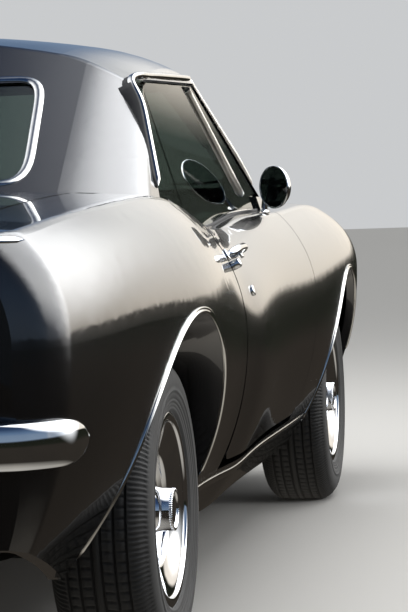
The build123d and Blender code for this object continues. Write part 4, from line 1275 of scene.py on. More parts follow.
@dataclass
class DoorFittings:
    """Handle, button, lock, belt moulding, vent divider and mirror of both doors.

    Lengths are in metres, x from the rear axle; sections are (across, out).

    Attributes:
        trim: The side trim, which runs the mouldings on both sides.
        belts: Word, glass, panel, body and the two ends in x of each belt moulding.
        buttons: Name, x, z, radius and rise of each round fitting.
    """

    frame: dict
    trim: SideTrim
    belts: tuple[tuple[str, str, str, str, float, float], ...] = (
        ("door", "door_glass_left", "door_left", "door_", 0.69, 1.925),
        ("quarter", "quarter_glass", "quarter_panels", "body", 0.34, 0.67))
    belt_levels: tuple[float, ...] = (0.935, 0.955, 0.985, 1.02)
    belt_spacing: float = 0.025
    belt_gap: float = 0.013
    belt_size: Pair = (0.012, 0.0075)
    wiper_section: Line = ((0.005, -0.003), (0.005, 0.005), (0.0095, 0.006), (0.0115, 0.002),
                                       (0.0115, -0.003))
    vent_line: Line = ((1.69, 0.928), (1.33, 1.204))
    vent_size: Pair = (0.02, 0.011)
    handle_line: tuple[Pair, Pair] = ((0.712, 0.792), (0.928, 0.792))
    handle_steps: int = 30
    handle_reach: float = 0.03
    handle_sink: float = 0.002
    handle_oval: Pair = (0.0085, 0.0052)
    buttons: tuple[tuple[str, float, float, float, float], ...] = (
        ("handle_button", 0.742, 0.768, 0.0115, 0.016), ("key_lock", 0.836, 0.706, 0.0125, 0.005),
        ("handle_foot_rear", 0.716, 0.792, 0.015, 0.004), ("handle_foot_front", 0.924, 0.792, 0.015, 0.004))
    mirror_place: Point = (1.722, 0.826, 0.944)
    mirror_turn: float = radians(41)
    mirror_bowl: Line = (
        (0.053, 0.001), (0.0548, 0.003), (0.0566, 0.0022), (0.057, -0.001), (0.0552, -0.008),
        (0.049, -0.017), (0.039, -0.024), (0.024, -0.0285), (CENTRE_RADIUS, -0.03))
    mirror_disc: Line = ((0.0532, 0.0012), (CENTRE_RADIUS, 0.0016))
    mirror_segments: int = 72
    arm_line: tuple[Point, ...] = ((1.764, 0.792, 0.878), (1.762, 0.794, 0.902), (1.756, 0.802, 0.926))
    arm_oval: Pair = (0.0085, 0.0062)
    arm_end: float = 0.024
    pad_line: tuple[Point, Point] = ((1.735, 0.793, 0.8795), (1.801, 0.793, 0.8795))
    pad_size: Pair = (0.026, 0.008)

    def run_belts(self) -> None:
        """Bright moulding with a rubber wiper along the foot of the side glass."""
        for word, glass, panel, body, first, last in self.belts:
            pane, points = Skin(self.frame, [glass]), []
            for x, _ in spaced([(from_axle(first), 0.0), (from_axle(last), 0.0)], self.belt_spacing):
                found = next(filter(None, (pane.beside(x, z) for z in self.belt_levels)), None)
                if found:
                    points.append((x, found[0].y + self.belt_gap))
            laid = Skin(self.frame, [panel]).line(points, View.ABOVE, passes=12)
            self.trim.on_both(f"belt_moulding_{word}", laid, half_round(*self.belt_size), STAINLESS_TRIM,
                              self.trim.tip, body)
            self.trim.on_both(f"belt_seal_{word}", laid, self.wiper_section, WEATHERSTRIP, 0, body)

    def vents(self) -> None:
        """Bright divider of each vent window."""
        points = spaced([(from_axle(x), z) for x, z in self.vent_line], 0.02)
        laid = Skin(self.frame, ["door_glass_left"]).line(points, View.SIDE)
        self.trim.on_both("vent_divider", laid, half_round(*self.vent_size), SATIN_TRIM, 0, "door_")

    def handles(self) -> None:
        """Bowed pull handle with its feet and push button, and the key lock under it."""
        door = Skin(self.frame, ["door_left"])
        points = [(from_axle(x), z) for x, z in evenly(*self.handle_line, self.handle_steps)]
        places, normals = door.line(points, View.SIDE)
        bowed = []
        for i, (place, normal) in enumerate(zip(places, normals)):
            bow = 1 - abs(2 * i / self.handle_steps - 1) ** 5
            bowed.append(place + normal * self.handle_reach * bow - normal * self.handle_sink)
        self.trim.on_both("door_handle", (bowed, normals), oval(*self.handle_oval, 14), CHROME_PLATE, 3,
                          "door_")
        for name, x, z, radius, rise in self.buttons:
            found = door.beside(from_axle(x), z)
            for side in Side:
                at, axis = mirrored(found, side)
                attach(dome(f"{name}_{side.word}", at, axis, radius, rise, CHROME_PLATE), "door_" + side.word)

    def mirrors(self) -> None:
        """Round mirror on a short arm, turned in towards the driver."""
        for side in Side:
            centre = on_side(self.mirror_place, side)
            axis = Vector((-cos(self.mirror_turn), -side.sign * sin(self.mirror_turn), 0.0))
            count = self.mirror_segments
            head = turned(f"mirror_head_{side.word}", self.mirror_bowl, CHROME_PLATE, count)
            # The mirror glass's near-black colour is a painted dark reflection.
            glass = turned(f"mirror_glass_{side.word}", self.mirror_disc, MIRROR_GLASS, count)
            for piece in (head, glass):
                turned_to(piece, centre, axis)
            bends = [on_side(p, side) for p in self.arm_line] + [centre - axis * self.arm_end]
            path = resampled(bends, 0.006, 0.012)
            arm = sweep(f"mirror_arm_{side.word}", path, [Vector((1, 0, 0.2)).normalized()] * len(path),
                        oval(*self.arm_oval, 12), CHROME_PLATE)
            foot = [on_side(p, side) for p in evenly(*self.pad_line, 20)]
            up = Vector((0, side.sign * 0.25, 1)).normalized()
            pad = sweep(f"mirror_pad_{side.word}", foot, [up] * len(foot), half_round(*self.pad_size),
                        CHROME_PLATE, taper=8)
            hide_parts(f"mirror_{side.word}")
            for piece in (head, glass, arm, pad):
                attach(piece, "door_" + side.word)

    def build(self) -> None:
        """Make all of them."""
        self.run_belts()
        self.vents()
        self.handles()
        self.mirrors()


@dataclass
class EndTrim:
    """Bright work at tail, nose and round the two screens.

    Lengths are in metres, x from the rear axle. Outlines are (y, z), a pair of sizes is width and height of a
    half-round moulding, or radius and rise of a round button.

    Attributes:
        screens: Name, end, lower and upper corner, and width of the moulding round each screen.
        tail_strips: Name, node, the two ends in y, and body of each strip of the tail moulding.
        bumpers: Word, end, middle height, blade height, points of each tip, and half the plan (x, y).
    """

    frame: dict
    screens: tuple[tuple[str, End, Pair, Pair, float], ...] = (
        ("rear_window_moulding", End.TAIL, (0.529, 0.965), (0.478, 1.199), 0.022),
        ("windshield_moulding", End.NOSE, (0.68, 0.956), (0.567, 1.219), 0.016))
    screen_rise: float = 0.0045
    loop_spacing: float = 0.014
    wiper_starts: Pair = (0.56, 0.02)
    wiper_reach: float = 0.42
    wiper_levels: Pair = (0.972, 0.984)
    wiper_steps: int = 20
    arm_points: int = 12
    tail_strips: tuple[tuple[str, str, float, float, str], ...] = (
        ("tail_moulding_lid", "trunk_lid", -0.632, 0.632, "trunk_lid"),
        ("tail_moulding_left", "quarter_panels", 0.654, 0.766, "body"),
        ("tail_moulding_right", "quarter_panels", -0.766, -0.654, "body"))
    tail_strip_z: float = 0.862
    lamp_y: Pair = (0.395, 0.615)
    lamp_z: Pair = (0.595, 0.695)
    lamp_bars: Pair = (0.47, 0.54)
    lamp_bar_z: Pair = (0.598, 0.692)
    lens_ribs: int = 5
    lens_rib_z: float = 0.61
    lens_rib_pitch: float = 0.0175
    lens_rib_y: Pair = (0.404, 0.606)
    trunk_lock_z: float = 0.822
    plate_half_width: float = 0.1525
    plate_span: Pair = (-0.136, 0.016)
    plate_bolt_z: float = 0.455
    plate_bolt_y: float = 0.089
    bumpers: tuple[tuple[str, End, float, float, int, Line], ...] = (
        ("rear", End.TAIL, 0.5265, 0.079, 15,
         ((-0.775, 0.847), (-0.868, 0.847), (-0.958, 0.77), (-0.985, 0.56), (-1.003, 0.29), (-1.0095, 0.0))),
        ("front", End.NOSE, 0.482, 0.08, 10,
         ((3.545, 0.797), (3.592, 0.748), (3.634, 0.56), (3.664, 0.29), (3.6745, 0.0))))
    blade_half: Line = ((1.0, -0.034), (1.0, -0.014), (0.96, -0.0075), (0.82, -0.003), (0.5, -0.0008))
    blade_back: Pair = (0.9, -0.036)
    grille_y: float = 0.757
    grille_z: Pair = (0.505, 0.727)
    headlamp: Point = (3.538, 0.608, 0.616)
    headlamp_rim: Line = (
        (0.0885, -0.024), (0.0885, 0.003), (0.0905, 0.0085), (0.0955, 0.0105), (0.101, 0.0082), (0.104, 0.002),
        (0.104, -0.006))
    headlamp_bowl: Line = ((0.083, -0.026), (0.07, -0.044), (0.045, -0.062), (0.014, -0.07),
                                       (CENTRE_RADIUS, -0.07))
    fender_edge: tuple[Pair, Pair] = ((0.772, 0.52), (0.772, 0.725))

    def loop(self, name: str, skin: Skin, outline: Profile, end: End, section: Profile, finish: Finish,
             corner: float = 0.04) -> None:
        """Run a moulding round an outline seen from an end of the car.

        Args:
            name: The piece's name.
            skin: What it sits on.
            outline: The outline's corners.
            end: The end it is seen from.
            section: The moulding's section.
            finish: Its material.
            corner: Where the corners' rounding starts.
        """
        points = spaced(outline, self.loop_spacing, corner, closed=True)
        path, outwards = skin.line(points, View.END, end.value, passes=4, closed=True)
        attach(sweep(name, path, outwards, section, finish, closed=True), "body")

    def strip(self, name: str, skin: Skin, points: Profile, end: End, size: Pair, finish: Finish = CHROME_PLATE,
              taper: int = 0, body: str = "body") -> None:
        """Run a half-round moulding along a line seen from an end of the car.

        Args:
            name: The piece's name.
            skin: What it sits on.
            points: The line.
            end: The end it is seen from.
            size: Its width and height.
            finish: Its material.
            taper: Points over which each end tapers.
            body: The body it rides on.
        """
        path, outwards = skin.line(points, View.END, end.value)
        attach(sweep(name, path, outwards, half_round(*size), finish, taper=taper), body)

    def reveal_mouldings(self) -> None:
        """Reveal mouldings round windshield and rear window."""
        shell = Skin(self.frame, ["roof", "quarter_panels", "deck_panel", "cowl"])
        for name, end, low, high, width in self.screens:
            outline = [(-low[0], low[1]), low, high, (-high[0], high[1])]
            self.loop(name, shell, outline, end, half_round(width, self.screen_rise), STAINLESS_TRIM)

    def wipers(self) -> None:
        """Two parked wipers along the foot of the windshield, each of a blade, an arm and a pivot."""
        glass, half = Skin(self.frame, ["windshield", "roof", "cowl"]), self.wiper_steps // 2
        for number, y in enumerate(self.wiper_starts):
            low, high = self.wiper_levels
            points = evenly((y, low), (y - self.wiper_reach, high), self.wiper_steps)
            places, normals = glass.line(points, View.END, End.NOSE.value)
            blade = sweep(f"wiper_blade_{number}", [p + n * 0.007 for p, n in zip(places, normals)], normals,
                          half_round(0.009, 0.006, 0.006), WEATHERSTRIP, taper=2)
            arm_path = [p + n * (0.016 - 0.004 * abs(i - half) / half)
                        for i, (p, n) in enumerate(zip(places[:self.arm_points], normals))]
            arm = sweep(f"wiper_arm_{number}", arm_path, normals[:self.arm_points],
                        half_round(0.008, 0.003, 0.001), STAINLESS_TRIM, taper=2)
            pivot = dome(f"wiper_pivot_{number}", places[0] + Vector((0.012, 0, -0.004)), (0.5, 0, 0.86), 0.014,
                         0.018, CHROME_PLATE)
            for piece in (blade, arm, pivot):
                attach(piece, "body")

    def tail(self) -> None:
        """Tail moulding, lamp bezels, bars and lens ribs, and the trunk lock."""
        for name, node, first, last, body in self.tail_strips:
            points = spaced([(first, self.tail_strip_z), (last, self.tail_strip_z)], 0.012)
            self.strip(name, Skin(self.frame, [node]), points, End.TAIL, (0.016, 0.007), taper=2, body=body)
        panel, lamp = Skin(self.frame, ["tail_panel"]), Skin(self.frame, ["tail_lamps"])
        (y0, y1), (z0, z1) = self.lamp_y, self.lamp_z
        for side in Side:
            s = side.sign
            outline = [(s * y0, z0), (s * y1, z0), (s * y1, z1), (s * y0, z1)]
            self.loop(f"tail_lamp_bezel_{side.word}", panel, outline, End.TAIL, half_round(0.013, 0.007),
                      CHROME_PLATE, 0.012)
            for number, y in enumerate(self.lamp_bars):
                low, high = self.lamp_bar_z
                self.strip(f"tail_lamp_bar_{side.word}_{number}", lamp, evenly((s * y, low), (s * y, high), 12),
                           End.TAIL, (0.007, 0.005))
            for number in range(self.lens_ribs):
                z = self.lens_rib_z + self.lens_rib_pitch * number
                inner, outer = self.lens_rib_y
                points = evenly((s * inner, z), (s * outer, z), 16)
                self.strip(f"tail_lens_rib_{side.word}_{number}", lamp, points, End.TAIL, (0.011, 0.0022),
                           RED_ACRYLIC)
        place, normal = Skin(self.frame, ["trunk_lid"]).behind(0, self.trunk_lock_z)
        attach(dome("trunk_lock", place, normal, 0.016, 0.008, CHROME_PLATE), "trunk_lid")

    def plate(self) -> None:
        """Blank number plate with its two screws, on the tail panel."""
        panel = Skin(self.frame, ["tail_panel"])
        top, out = panel.behind(0.15, self.plate_bolt_z)
        low, _ = panel.behind(0.15, self.plate_bolt_z - 0.08)
        width, (foot, head) = self.plate_half_width, self.plate_span
        plate = slab("blank_plate", [(-width, foot), (width, foot), (width, head), (-width, head)],
                     Vector((top.x, 0, self.plate_bolt_z)) - Vector((0.004, 0, 0)), Vector((0, -1, 0)),
                     (top - low).normalized(), 0.0015, PLATE_ENAMEL, 0.0008, 0.02)
        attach(plate, "body")
        for number, y in enumerate((-self.plate_bolt_y, self.plate_bolt_y)):
            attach(dome(f"plate_screw_{number}", (top.x - 0.005, y, self.plate_bolt_z), out, 0.0075, 0.004,
                         STAINLESS_TRIM), "body")

    def blades(self) -> None:
        """Crowned bumper blades with rolled edges, drawn out to rounded tips."""
        for word, end, middle, height, taper, half in self.bumpers:
            line = [(from_axle(x), y, middle) for x, y in half]
            line += [(x, -y, z) for x, y, z in reversed(line[:-1])]
            path = evened(resampled(line, 0.008, 0.05), 12)
            if end is End.NOSE:
                path.reverse()
            outwards = []
            for i in range(len(path)):
                along = path[min(i + 1, len(path) - 1)] - path[max(i - 1, 0)]
                outwards.append(Vector((along.y, -along.x, 0)).normalized())
            if outwards[len(path) // 2].x * end.value < 0:
                outwards = [-o for o in outwards]
            edge = [(share * height / 2, depth) for share, depth in self.blade_half]
            section = [(-h, depth) for h, depth in edge] + [(0.0, 0.0)] + edge[::-1]
            share, depth = self.blade_back
            section += [(height / 2 * share, depth), (-height / 2 * share, depth)]
            blade = sweep(f"{word}_bumper_dressed", path, outwards, section, CHROME_PLATE, taper=taper)
            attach(blade, "body")
            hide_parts(f"{word}_bumper")

    def nose(self) -> None:
        """Grille frame, headlamp rims and reflectors, and the fenders' bright leading edges."""
        front = Skin(self.frame, ["grille", "front_fenders", "nose_panels", "headlamps"])
        width, (low, high) = self.grille_y, self.grille_z
        self.loop("grille_frame", front, [(-width, low), (width, low), (width, high), (-width, high)], End.NOSE,
                  half_round(0.013, 0.006), CHROME_PLATE, 0.006)
        for side in Side:
            for word, profile in (("rim", self.headlamp_rim), ("reflector", self.headlamp_bowl)):
                piece = turned(f"headlamp_{word}_{side.word}", profile, CHROME_PLATE, 72)
                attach(turned_to(piece, on_side(self.headlamp, side), (1, 0, 0)), "body")
        fenders = Skin(self.frame, ["front_fenders"])
        for side in Side:
            low, high = ((side.sign * y, z) for y, z in self.fender_edge)
            self.strip(f"fender_edge_moulding_{side.word}", fenders, evenly(low, high, 20), End.NOSE,
                       (0.018, 0.006), taper=2)

    def build(self) -> None:
        """Make all of them."""
        self.reveal_mouldings()
        self.wipers()
        self.tail()
        self.plate()
        self.blades()
        self.nose()


def applied(thing: Piece) -> None:
    """Replace an object's mesh by what its modifiers make of it.

    Args:
        thing: The object, which loses its modifiers.
    """
    made = bpy.data.meshes.new_from_object(thing.evaluated_get(bpy.context.evaluated_depsgraph_get()))
    thing.modifiers.clear()
    thing.data = made


@dataclass
class Cushion:
    """A vinyl cushion, swollen by a short cloth simulation and sewn in channels.

    Attributes:
        name: The piece's name.
        outline: Its side view (x from the rear axle, z), in metres, smaller than the solid it stands for.
        across: Its two ends in Y.
        up: Direction its seat faces, for the channels.
        corner: Where the rounding of the outline's corners starts.
        end_rounding: Distance from each end, and the outline's share there.
        voxel: Grid size of its mesh.
        pressure: Air pressure in the cloth simulation.
        cap: The most it may swell.
        channel_pitch: Distance between the sewn channels.
        channel_depth: Their depth.
        channel_facing: Least share of a face's direction along up for a channel to be sewn there.
        channel_margin: Distance from the ends where the channels start, and over which they deepen.
        frames: Steps of the simulation.
    """

    name: str
    outline: Line
    across: Pair
    up: Point
    corner: float = 0.045
    end_rounding: Line = ((0.0, 0.94), (0.012, 0.98), (0.035, 1.0))
    voxel: float = 0.012
    pressure: float = 4.0
    cap: float = 0.024
    channel_pitch: float = 0.052
    channel_depth: float = 0.005
    channel_facing: float = 0.35
    channel_margin: Pair = (0.045, 0.02)
    frames: int = 20

    def block(self) -> Piece:
        """Make the rounded block to start from.

        Returns:
            The block.
        """
        ring = [Vector(p) for p in rounded_profile(self.outline, self.corner, 4, closed=True)]
        low, high = self.across
        stations = [(low + reach, share) for reach, share in self.end_rounding]
        stations += [(high - reach, share) for reach, share in reversed(self.end_rounding)]
        middle = sum(ring, Vector((0, 0))) / len(ring)
        vertices = []
        for y, share in stations:
            for point in ring:
                moved = middle + (point - middle) * share
                vertices.append((from_axle(moved.x), y, moved.y))
        faces: list[tuple[int, ...]] = list(grid_faces(len(stations), len(ring), close_columns=True))
        faces.append(tuple(range(len(ring))))
        faces.append(tuple(reversed(range(len(vertices) - len(ring), len(vertices)))))
        return new_object(self.name, vertices, faces, SEAT_VINYL)

    def swell(self, thing: Piece) -> None:
        """Blow the cushion up as cloth without gravity.

        Args:
            thing: The remeshed block.
        """
        cloth = thing.modifiers.new("swell", "CLOTH")
        cloth.settings.use_pressure = True
        cloth.settings.uniform_pressure_force = self.pressure
        cloth.settings.effector_weights.gravity = 0.0
        for step in range(1, self.frames + 1):
            bpy.context.scene.frame_set(step)
        applied(thing)
        bpy.context.scene.frame_set(1)

    def build(self) -> Piece:
        """Make the cushion: remesh, swell, cap the swelling, sew the channels.

        Returns:
            The cushion.
        """
        thing = self.block()
        remesh = thing.modifiers.new("even_mesh", "REMESH")
        remesh.mode = "VOXEL"
        remesh.voxel_size = self.voxel
        applied(thing)
        start = [v.co.copy() for v in thing.data.vertices]
        self.swell(thing)
        face_up = Vector(self.up).normalized()
        low, high = self.across
        margin, fade = self.channel_margin
        thing.data.update()
        for vertex, home in zip(thing.data.vertices, start):
            move = vertex.co - home
            if move.length > self.cap:
                move = move.normalized() * self.cap
            place = home + move
            facing = max(0.0, vertex.normal.dot(face_up) - self.channel_facing) / (1 - self.channel_facing)
            edge = min(1.0, max(0.0, (min(place.y - low, high - place.y) - margin) / fade))
            wave = abs(cos(pi * (place.y - (low + high) / 2) / self.channel_pitch))
            vertex.co = place - face_up * self.channel_depth * facing * edge * (1 - wave) ** 3
        smooth = thing.modifiers.new("smooth", "SUBSURF")
        smooth.levels = smooth.render_levels = 1
        applied(thing)
        thing.data.shade_smooth()
        return thing


@dataclass
class Cabin:
    """Seats, linings, steering wheel trim, dials and mirror inside the car.

    Lengths are in metres, x from the rear axle; seats are outlined in side view (x, z), and turned profiles are
    (radius, offset).

    Attributes:
        linings: Name, node, facing, least share, lift, finish, body, and the box's two corners of each lining.
    """

    frame: dict
    seat_y: float = 0.395
    seat_half_width: float = 0.205
    bench_half_width: float = 0.545
    bench_cap: float = 0.014
    cushion: Line = ((0.975, 0.325), (1.425, 0.338), (1.445, 0.455), (0.99, 0.425))
    back: Line = ((0.965, 0.42), (0.998, 0.59), (0.886, 0.915), (0.815, 0.915), (0.865, 0.42))
    cushion_up: Point = (-0.06, 0, 1)
    back_up: Point = (0.93, 0, 0.36)
    bench: Line = ((0.345, 0.485), (0.6, 0.478), (0.655, 0.425), (0.735, 0.425), (0.738, 0.485),
                               (0.345, 0.54))
    bench_up: Point = (0.05, 0, 1)
    bench_back: Line = ((0.105, 0.52), (0.31, 0.54), (0.19, 0.855), (0.105, 0.86))
    rail_offset: float = 0.18
    rail_span: Pair = (1.0, 1.4)
    rail_z: float = 0.268
    linings: tuple[tuple[str, str, Point, float, float, Finish, str, Point, Point], ...] = (
        ("carpet", "floor_pan", (0, 0, 1), 0.3, 0.006, CARPET, "body", (0.6, -0.64, 0.2), (2.2, 0.64, 0.47)),
        ("headliner", "roof", (0, 0, -1), 0.5, 0.004, HEADLINER_CLOTH, "body", (0.5, -0.7, 1.1),
         (1.7, 0.7, 1.4)),
        ("door_card_left", "door_left", (0, -1, 0), 0.8, 0.005, SEAT_VINYL, "door_left", (0.6, -1.0, 0.3),
         (2.0, 1.0, 0.9)),
        ("door_card_right", "door_right", (0, 1, 0), 0.8, 0.005, SEAT_VINYL, "door_right", (0.6, -1.0, 0.3),
         (2.0, 1.0, 0.9)))
    weld: float = 0.00005
    wheel_place: Point = (1.4, 0.395, 0.8)
    wheel_axis: Point = (-0.91355, 0, 0.40674)
    boss: Line = ((0.045, -0.022), (0.045, 0.006), (0.04, 0.014), (0.02, 0.018), (CENTRE_RADIUS, 0.019))
    dial_offset: float = 0.085
    dial_place: Pair = (1.769, 0.79)
    dial_bezel: Line = ((0.058, 0.0), (0.058, 0.014), (0.054, 0.02), (0.05, 0.016), (0.049, 0.004))
    dial_face: Line = ((0.0495, 0.004), (CENTRE_RADIUS, 0.0045))
    mark_count: int = 11
    mark_outline: Line = ((-0.0012, 0.034), (0.0012, 0.034), (0.0012, 0.044), (-0.0012, 0.044))
    inner_mirror: Line = ((-0.11, -0.028), (0.11, -0.028), (0.11, 0.028), (-0.11, 0.028))
    inner_mirror_place: Point = (1.53, 0, 1.195)

    def seats(self) -> None:
        """Two front seats and the rear bench, each of a cushion and a back, and the front seats' rails."""
        span = (self.seat_y - self.seat_half_width, self.seat_y + self.seat_half_width)
        front = []
        for name, outline, up in (("front_cushion", self.cushion, self.cushion_up),
                                  ("front_back", self.back, self.back_up)):
            left = Cushion(f"{name}_left", outline, span, up).build()
            right = linked(f"{name}_right", left.data.copy())
            right.data.transform(Matrix.Translation((0, -2 * self.seat_y, 0)))
            front += [left, right]
        span = (-self.bench_half_width, self.bench_half_width)
        rear = [Cushion("rear_cushion", self.bench, span, self.bench_up, cap=self.bench_cap).build(),
                Cushion("rear_back", self.bench_back, span, self.back_up, cap=self.bench_cap).build()]
        for piece in front + rear:
            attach(piece, "body")
        for side in Side:
            for number, offset in enumerate((-self.rail_offset, self.rail_offset)):
                y = side.sign * self.seat_y + offset
                first, last = ((from_axle(x), y, self.rail_z) for x in self.rail_span)
                path = [Vector(p) for p in evenly(first, last, 8)]
                rail = sweep(f"seat_rail_{side.word}_{number}", path, [Vector((0, 0, 1))] * len(path),
                             half_round(0.034, 0.05, 0.016), CHASSIS_PAINT)
                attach(rail, "body")
                front.append(rail)
        for pieces, node in ((front, "front_seats"), (rear, "rear_seat")):
            for piece in pieces:
                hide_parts(node)

    def line(self, name: str, node: str, facing: Point, share: float, lift: float, finish: Finish, body: str,
             low: Point, high: Point) -> None:
        """Cover the faces of a node that face one way, inside a box, with a thin layer.

        Args:
            name: The piece's name.
            node: The node it covers.
            facing: The way the covered faces face.
            share: Least dot product of a face's normal with it.
            lift: How far the layer stands off.
            finish: Its material.
            body: The body it rides on.
            low: The box's lowest corner.
            high: Its highest corner.
        """
        mesh = self.frame["nodes"][node].data
        way = Vector(facing).normalized()
        axle = Vector((REAR_AXLE, 0, 0))
        places: dict[tuple[int, ...], int] = {}
        vertices, faces = [], []
        for polygon in mesh.polygons:
            middle = polygon.center - axle
            if polygon.normal.dot(way) <= share or not all(low[k] <= middle[k] <= high[k] for k in range(3)):
                continue
            face = []
            for i in polygon.vertices:
                co = mesh.vertices[i].co
                key = tuple(round(c / self.weld) for c in co)
                if key not in places:
                    places[key] = len(vertices)
                    vertices.append(co + way * lift)
                face.append(places[key])
            faces.append(face)
        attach(new_object(name, vertices, faces, finish), body)

    def driving(self) -> None:
        """Grip, horn ring and boss of the steering wheel, two dials with blank marks, and the inner mirror."""
        grip = oval(0.0135, 0.0125, 12, (0.196, 0.0), closed=True)
        ring = oval(0.004, 0.004, 8, (0.105, 0.004), closed=True)
        for name, profile, finish, count in (("steering_grip", grip, DASH_PLASTIC, 120),
                                             ("horn_ring", ring, CHROME_PLATE, 72),
                                             ("steering_boss", self.boss, DASH_PLASTIC, 48)):
            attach(turned_to(turned(name, profile, finish, count), on_side(self.wheel_place, Side.LEFT),
                              self.wheel_axis), "steering_wheel")
        for number, offset in enumerate((-self.dial_offset, self.dial_offset)):
            x, z = self.dial_place
            place = Vector((from_axle(x), self.seat_y + offset, z))
            for word, profile, finish in (("bezel", self.dial_bezel, CHROME_PLATE),
                                          ("face", self.dial_face, DASH_PLASTIC)):
                piece = turned(f"dial_{word}_{number}", profile, finish, 48)
                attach(turned_to(piece, place, (-1, 0, 0)), "body")
            for tick in range(self.mark_count):
                turn = radians(-130 + 26 * tick)
                up = Vector((0, sin(turn), cos(turn)))
                across = Vector((0, cos(turn), -sin(turn)))
                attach(slab(f"dial_mark_{number}_{tick}", self.mark_outline, place - Vector((0.0046, 0, 0)),
                             -across, up, 0.0006, PLATE_ENAMEL, 0.0001, 0.0004), "body")
        # The inner mirror's near-black glass is a painted dark reflection.
        mirror = slab("inner_mirror", self.inner_mirror, on_side(self.inner_mirror_place, Side.LEFT),
                      Vector((0, -1, 0)), Vector((0.15, 0, 1)).normalized(), 0.014, MIRROR_GLASS, 0.003, 0.02)
        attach(mirror, "body")

    def build(self) -> None:
        """Make all of it."""
        self.seats()
        for lining in self.linings:
            self.line(*lining)
        self.driving()


@dataclass(frozen=True)
class SkyShell:
    """Hollow ball round the studio that only reflections see: dull ground, a dark skyline, a bright sky.

    Black enamel and chrome take their look from what they mirror. The sky is bright on the car's right, and blue
    and darker on its left and behind, with a soft glow over each flank.

    Attributes:
        radius: Its radius in metres.
        ground: Height as a sine, sRGB colour and brightness of each band up to the skyline.
        sunny: The same above it, on the right and ahead.
        shaded: The same on the left and behind.
        shade_from: How far left or back, as a sine, the shaded side starts.
        shade_to: Where it is full.
        abeam_from: How far right, as a sine, the sky square to the car starts to darken too.
        glows: Direction, outer and inner half angle in degrees, and brightness of each soft glow.
    """

    radius: float = 40.0
    ground: tuple[tuple[float, str, float], ...] = (
        (-1.0, "D8D2C8", 0.8), (-0.72, "CFC8BC", 0.7), (-0.45, "5A534B", 0.34), (-0.08, "5A534B", 0.34),
        (-0.05, "2A2C24", 0.7), (0.02, "24261F", 0.7))
    sunny: tuple[tuple[float, str, float], ...] = (
        (0.04, "F6ECDD", 1.15), (0.3, "F0EFEC", 1.45), (0.6, "A9BBD3", 0.7), (1.0, "51719F", 0.5))
    shaded: tuple[tuple[float, str, float], ...] = (
        (0.04, "A9BFDA", 0.6), (0.3, "7F9DC4", 0.6), (0.6, "45608C", 0.5), (1.0, "34507E", 0.5))
    shade_from: float = 0.0
    shade_to: float = 0.2
    abeam_from: float = 0.84
    glows: tuple[tuple[Point, float, float, float], ...] = (
        ((0.35, -0.61, 0.7), 51.0, 27.0, 3.8), ((0.35, 0.75, 0.55), 38.0, 12.0, 1.6))

    def bands(self, tree: Tree, sky: Sequence[tuple[float, str, float]],
              height: Socket) -> Socket:
        """Add the bands of one side as a colour ramp.

        Args:
            tree: The material's node tree.
            sky: The bands above the skyline.
            height: The socket that gives the height, from 0 to 1.

        Returns:
            The socket that gives the colour.
        """
        ramp = add_node(tree, "ShaderNodeValToRGB", {}, {"Fac": height})
        rows, stops = self.ground + tuple(sky), ramp.color_ramp.elements
        while len(stops) < len(rows):
            stops.new(0.5)
        for stop, (sine, colour, brightness) in zip(stops, rows):
            stop.position = (sine + 1) / 2
            stop.color = tuple(c * brightness for c in linear(colour)[:3]) + (1.0,)
        return ramp.outputs["Color"]

    def material(self) -> bpy.types.Material:
        """Build the emission by height and side, with the glows added.

        Returns:
            The material.
        """
        material = bpy.data.materials.new("painted_sky_shell")
        material.use_nodes = True
        tree = material.node_tree
        tree.nodes.clear()
        place = add_node(tree, "ShaderNodeTexCoord")
        unit = add_node(tree, "ShaderNodeVectorMath", {"operation": "NORMALIZE"}, {0: place.outputs["Object"]})
        axes = add_node(tree, "ShaderNodeSeparateXYZ", {}, {"Vector": unit.outputs["Vector"]})
        height = add_node(tree, "ShaderNodeMapRange", {"From Min": -1.0, "From Max": 1.0},
                          {"Value": axes.outputs["Z"]}).outputs["Result"]
        back = add_node(tree, "ShaderNodeMath", {"operation": "MULTIPLY", 1: -1.0}, {0: axes.outputs["X"]})
        abeam = add_node(tree, "ShaderNodeMath", {"operation": "MULTIPLY_ADD", 1: -1.0, 2: -self.abeam_from},
                         {0: axes.outputs["Y"]})
        away = add_node(tree, "ShaderNodeMath", {"operation": "MAXIMUM"},
                        {0: back.outputs["Value"], 1: axes.outputs["Y"]})
        away = add_node(tree, "ShaderNodeMath", {"operation": "MAXIMUM"},
                        {0: away.outputs["Value"], 1: abeam.outputs["Value"]})
        shade = add_node(tree, "ShaderNodeMapRange",
                         {"interpolation_type": "SMOOTHSTEP", "From Min": self.shade_from,
                          "From Max": self.shade_to}, {"Value": away.outputs["Value"]})
        colour = add_node(tree, "ShaderNodeMix", {"data_type": "RGBA"})
        for socket, output in ((colour.inputs["Factor"], shade.outputs["Result"]),
                               (colour.inputs[6], self.bands(tree, self.sunny, height)),
                               (colour.inputs[7], self.bands(tree, self.shaded, height))):
            tree.links.new(output, socket)
        both = add_node(tree, "ShaderNodeEmission", {"Strength": 1.0}, {"Color": colour.outputs[2]})
        for way, outer, inner, brightness in self.glows:
            towards = add_node(tree, "ShaderNodeVectorMath",
                               {"operation": "DOT_PRODUCT", 1: Vector(way).normalized()},
                               {0: unit.outputs["Vector"]})
            share = add_node(tree, "ShaderNodeMapRange",
                             {"interpolation_type": "SMOOTHSTEP", "From Min": cos(radians(outer)),
                              "From Max": cos(radians(inner)), "To Max": brightness},
                             {"Value": towards.outputs["Value"]})
            light = add_node(tree, "ShaderNodeEmission", {}, {"Strength": share.outputs["Result"]})
            both = add_node(tree, "ShaderNodeAddShader", {}, {0: both.outputs[0], 1: light.outputs["Emission"]})
        add_node(tree, "ShaderNodeOutputMaterial", {}, {"Surface": both.outputs["Shader"]})
        return material

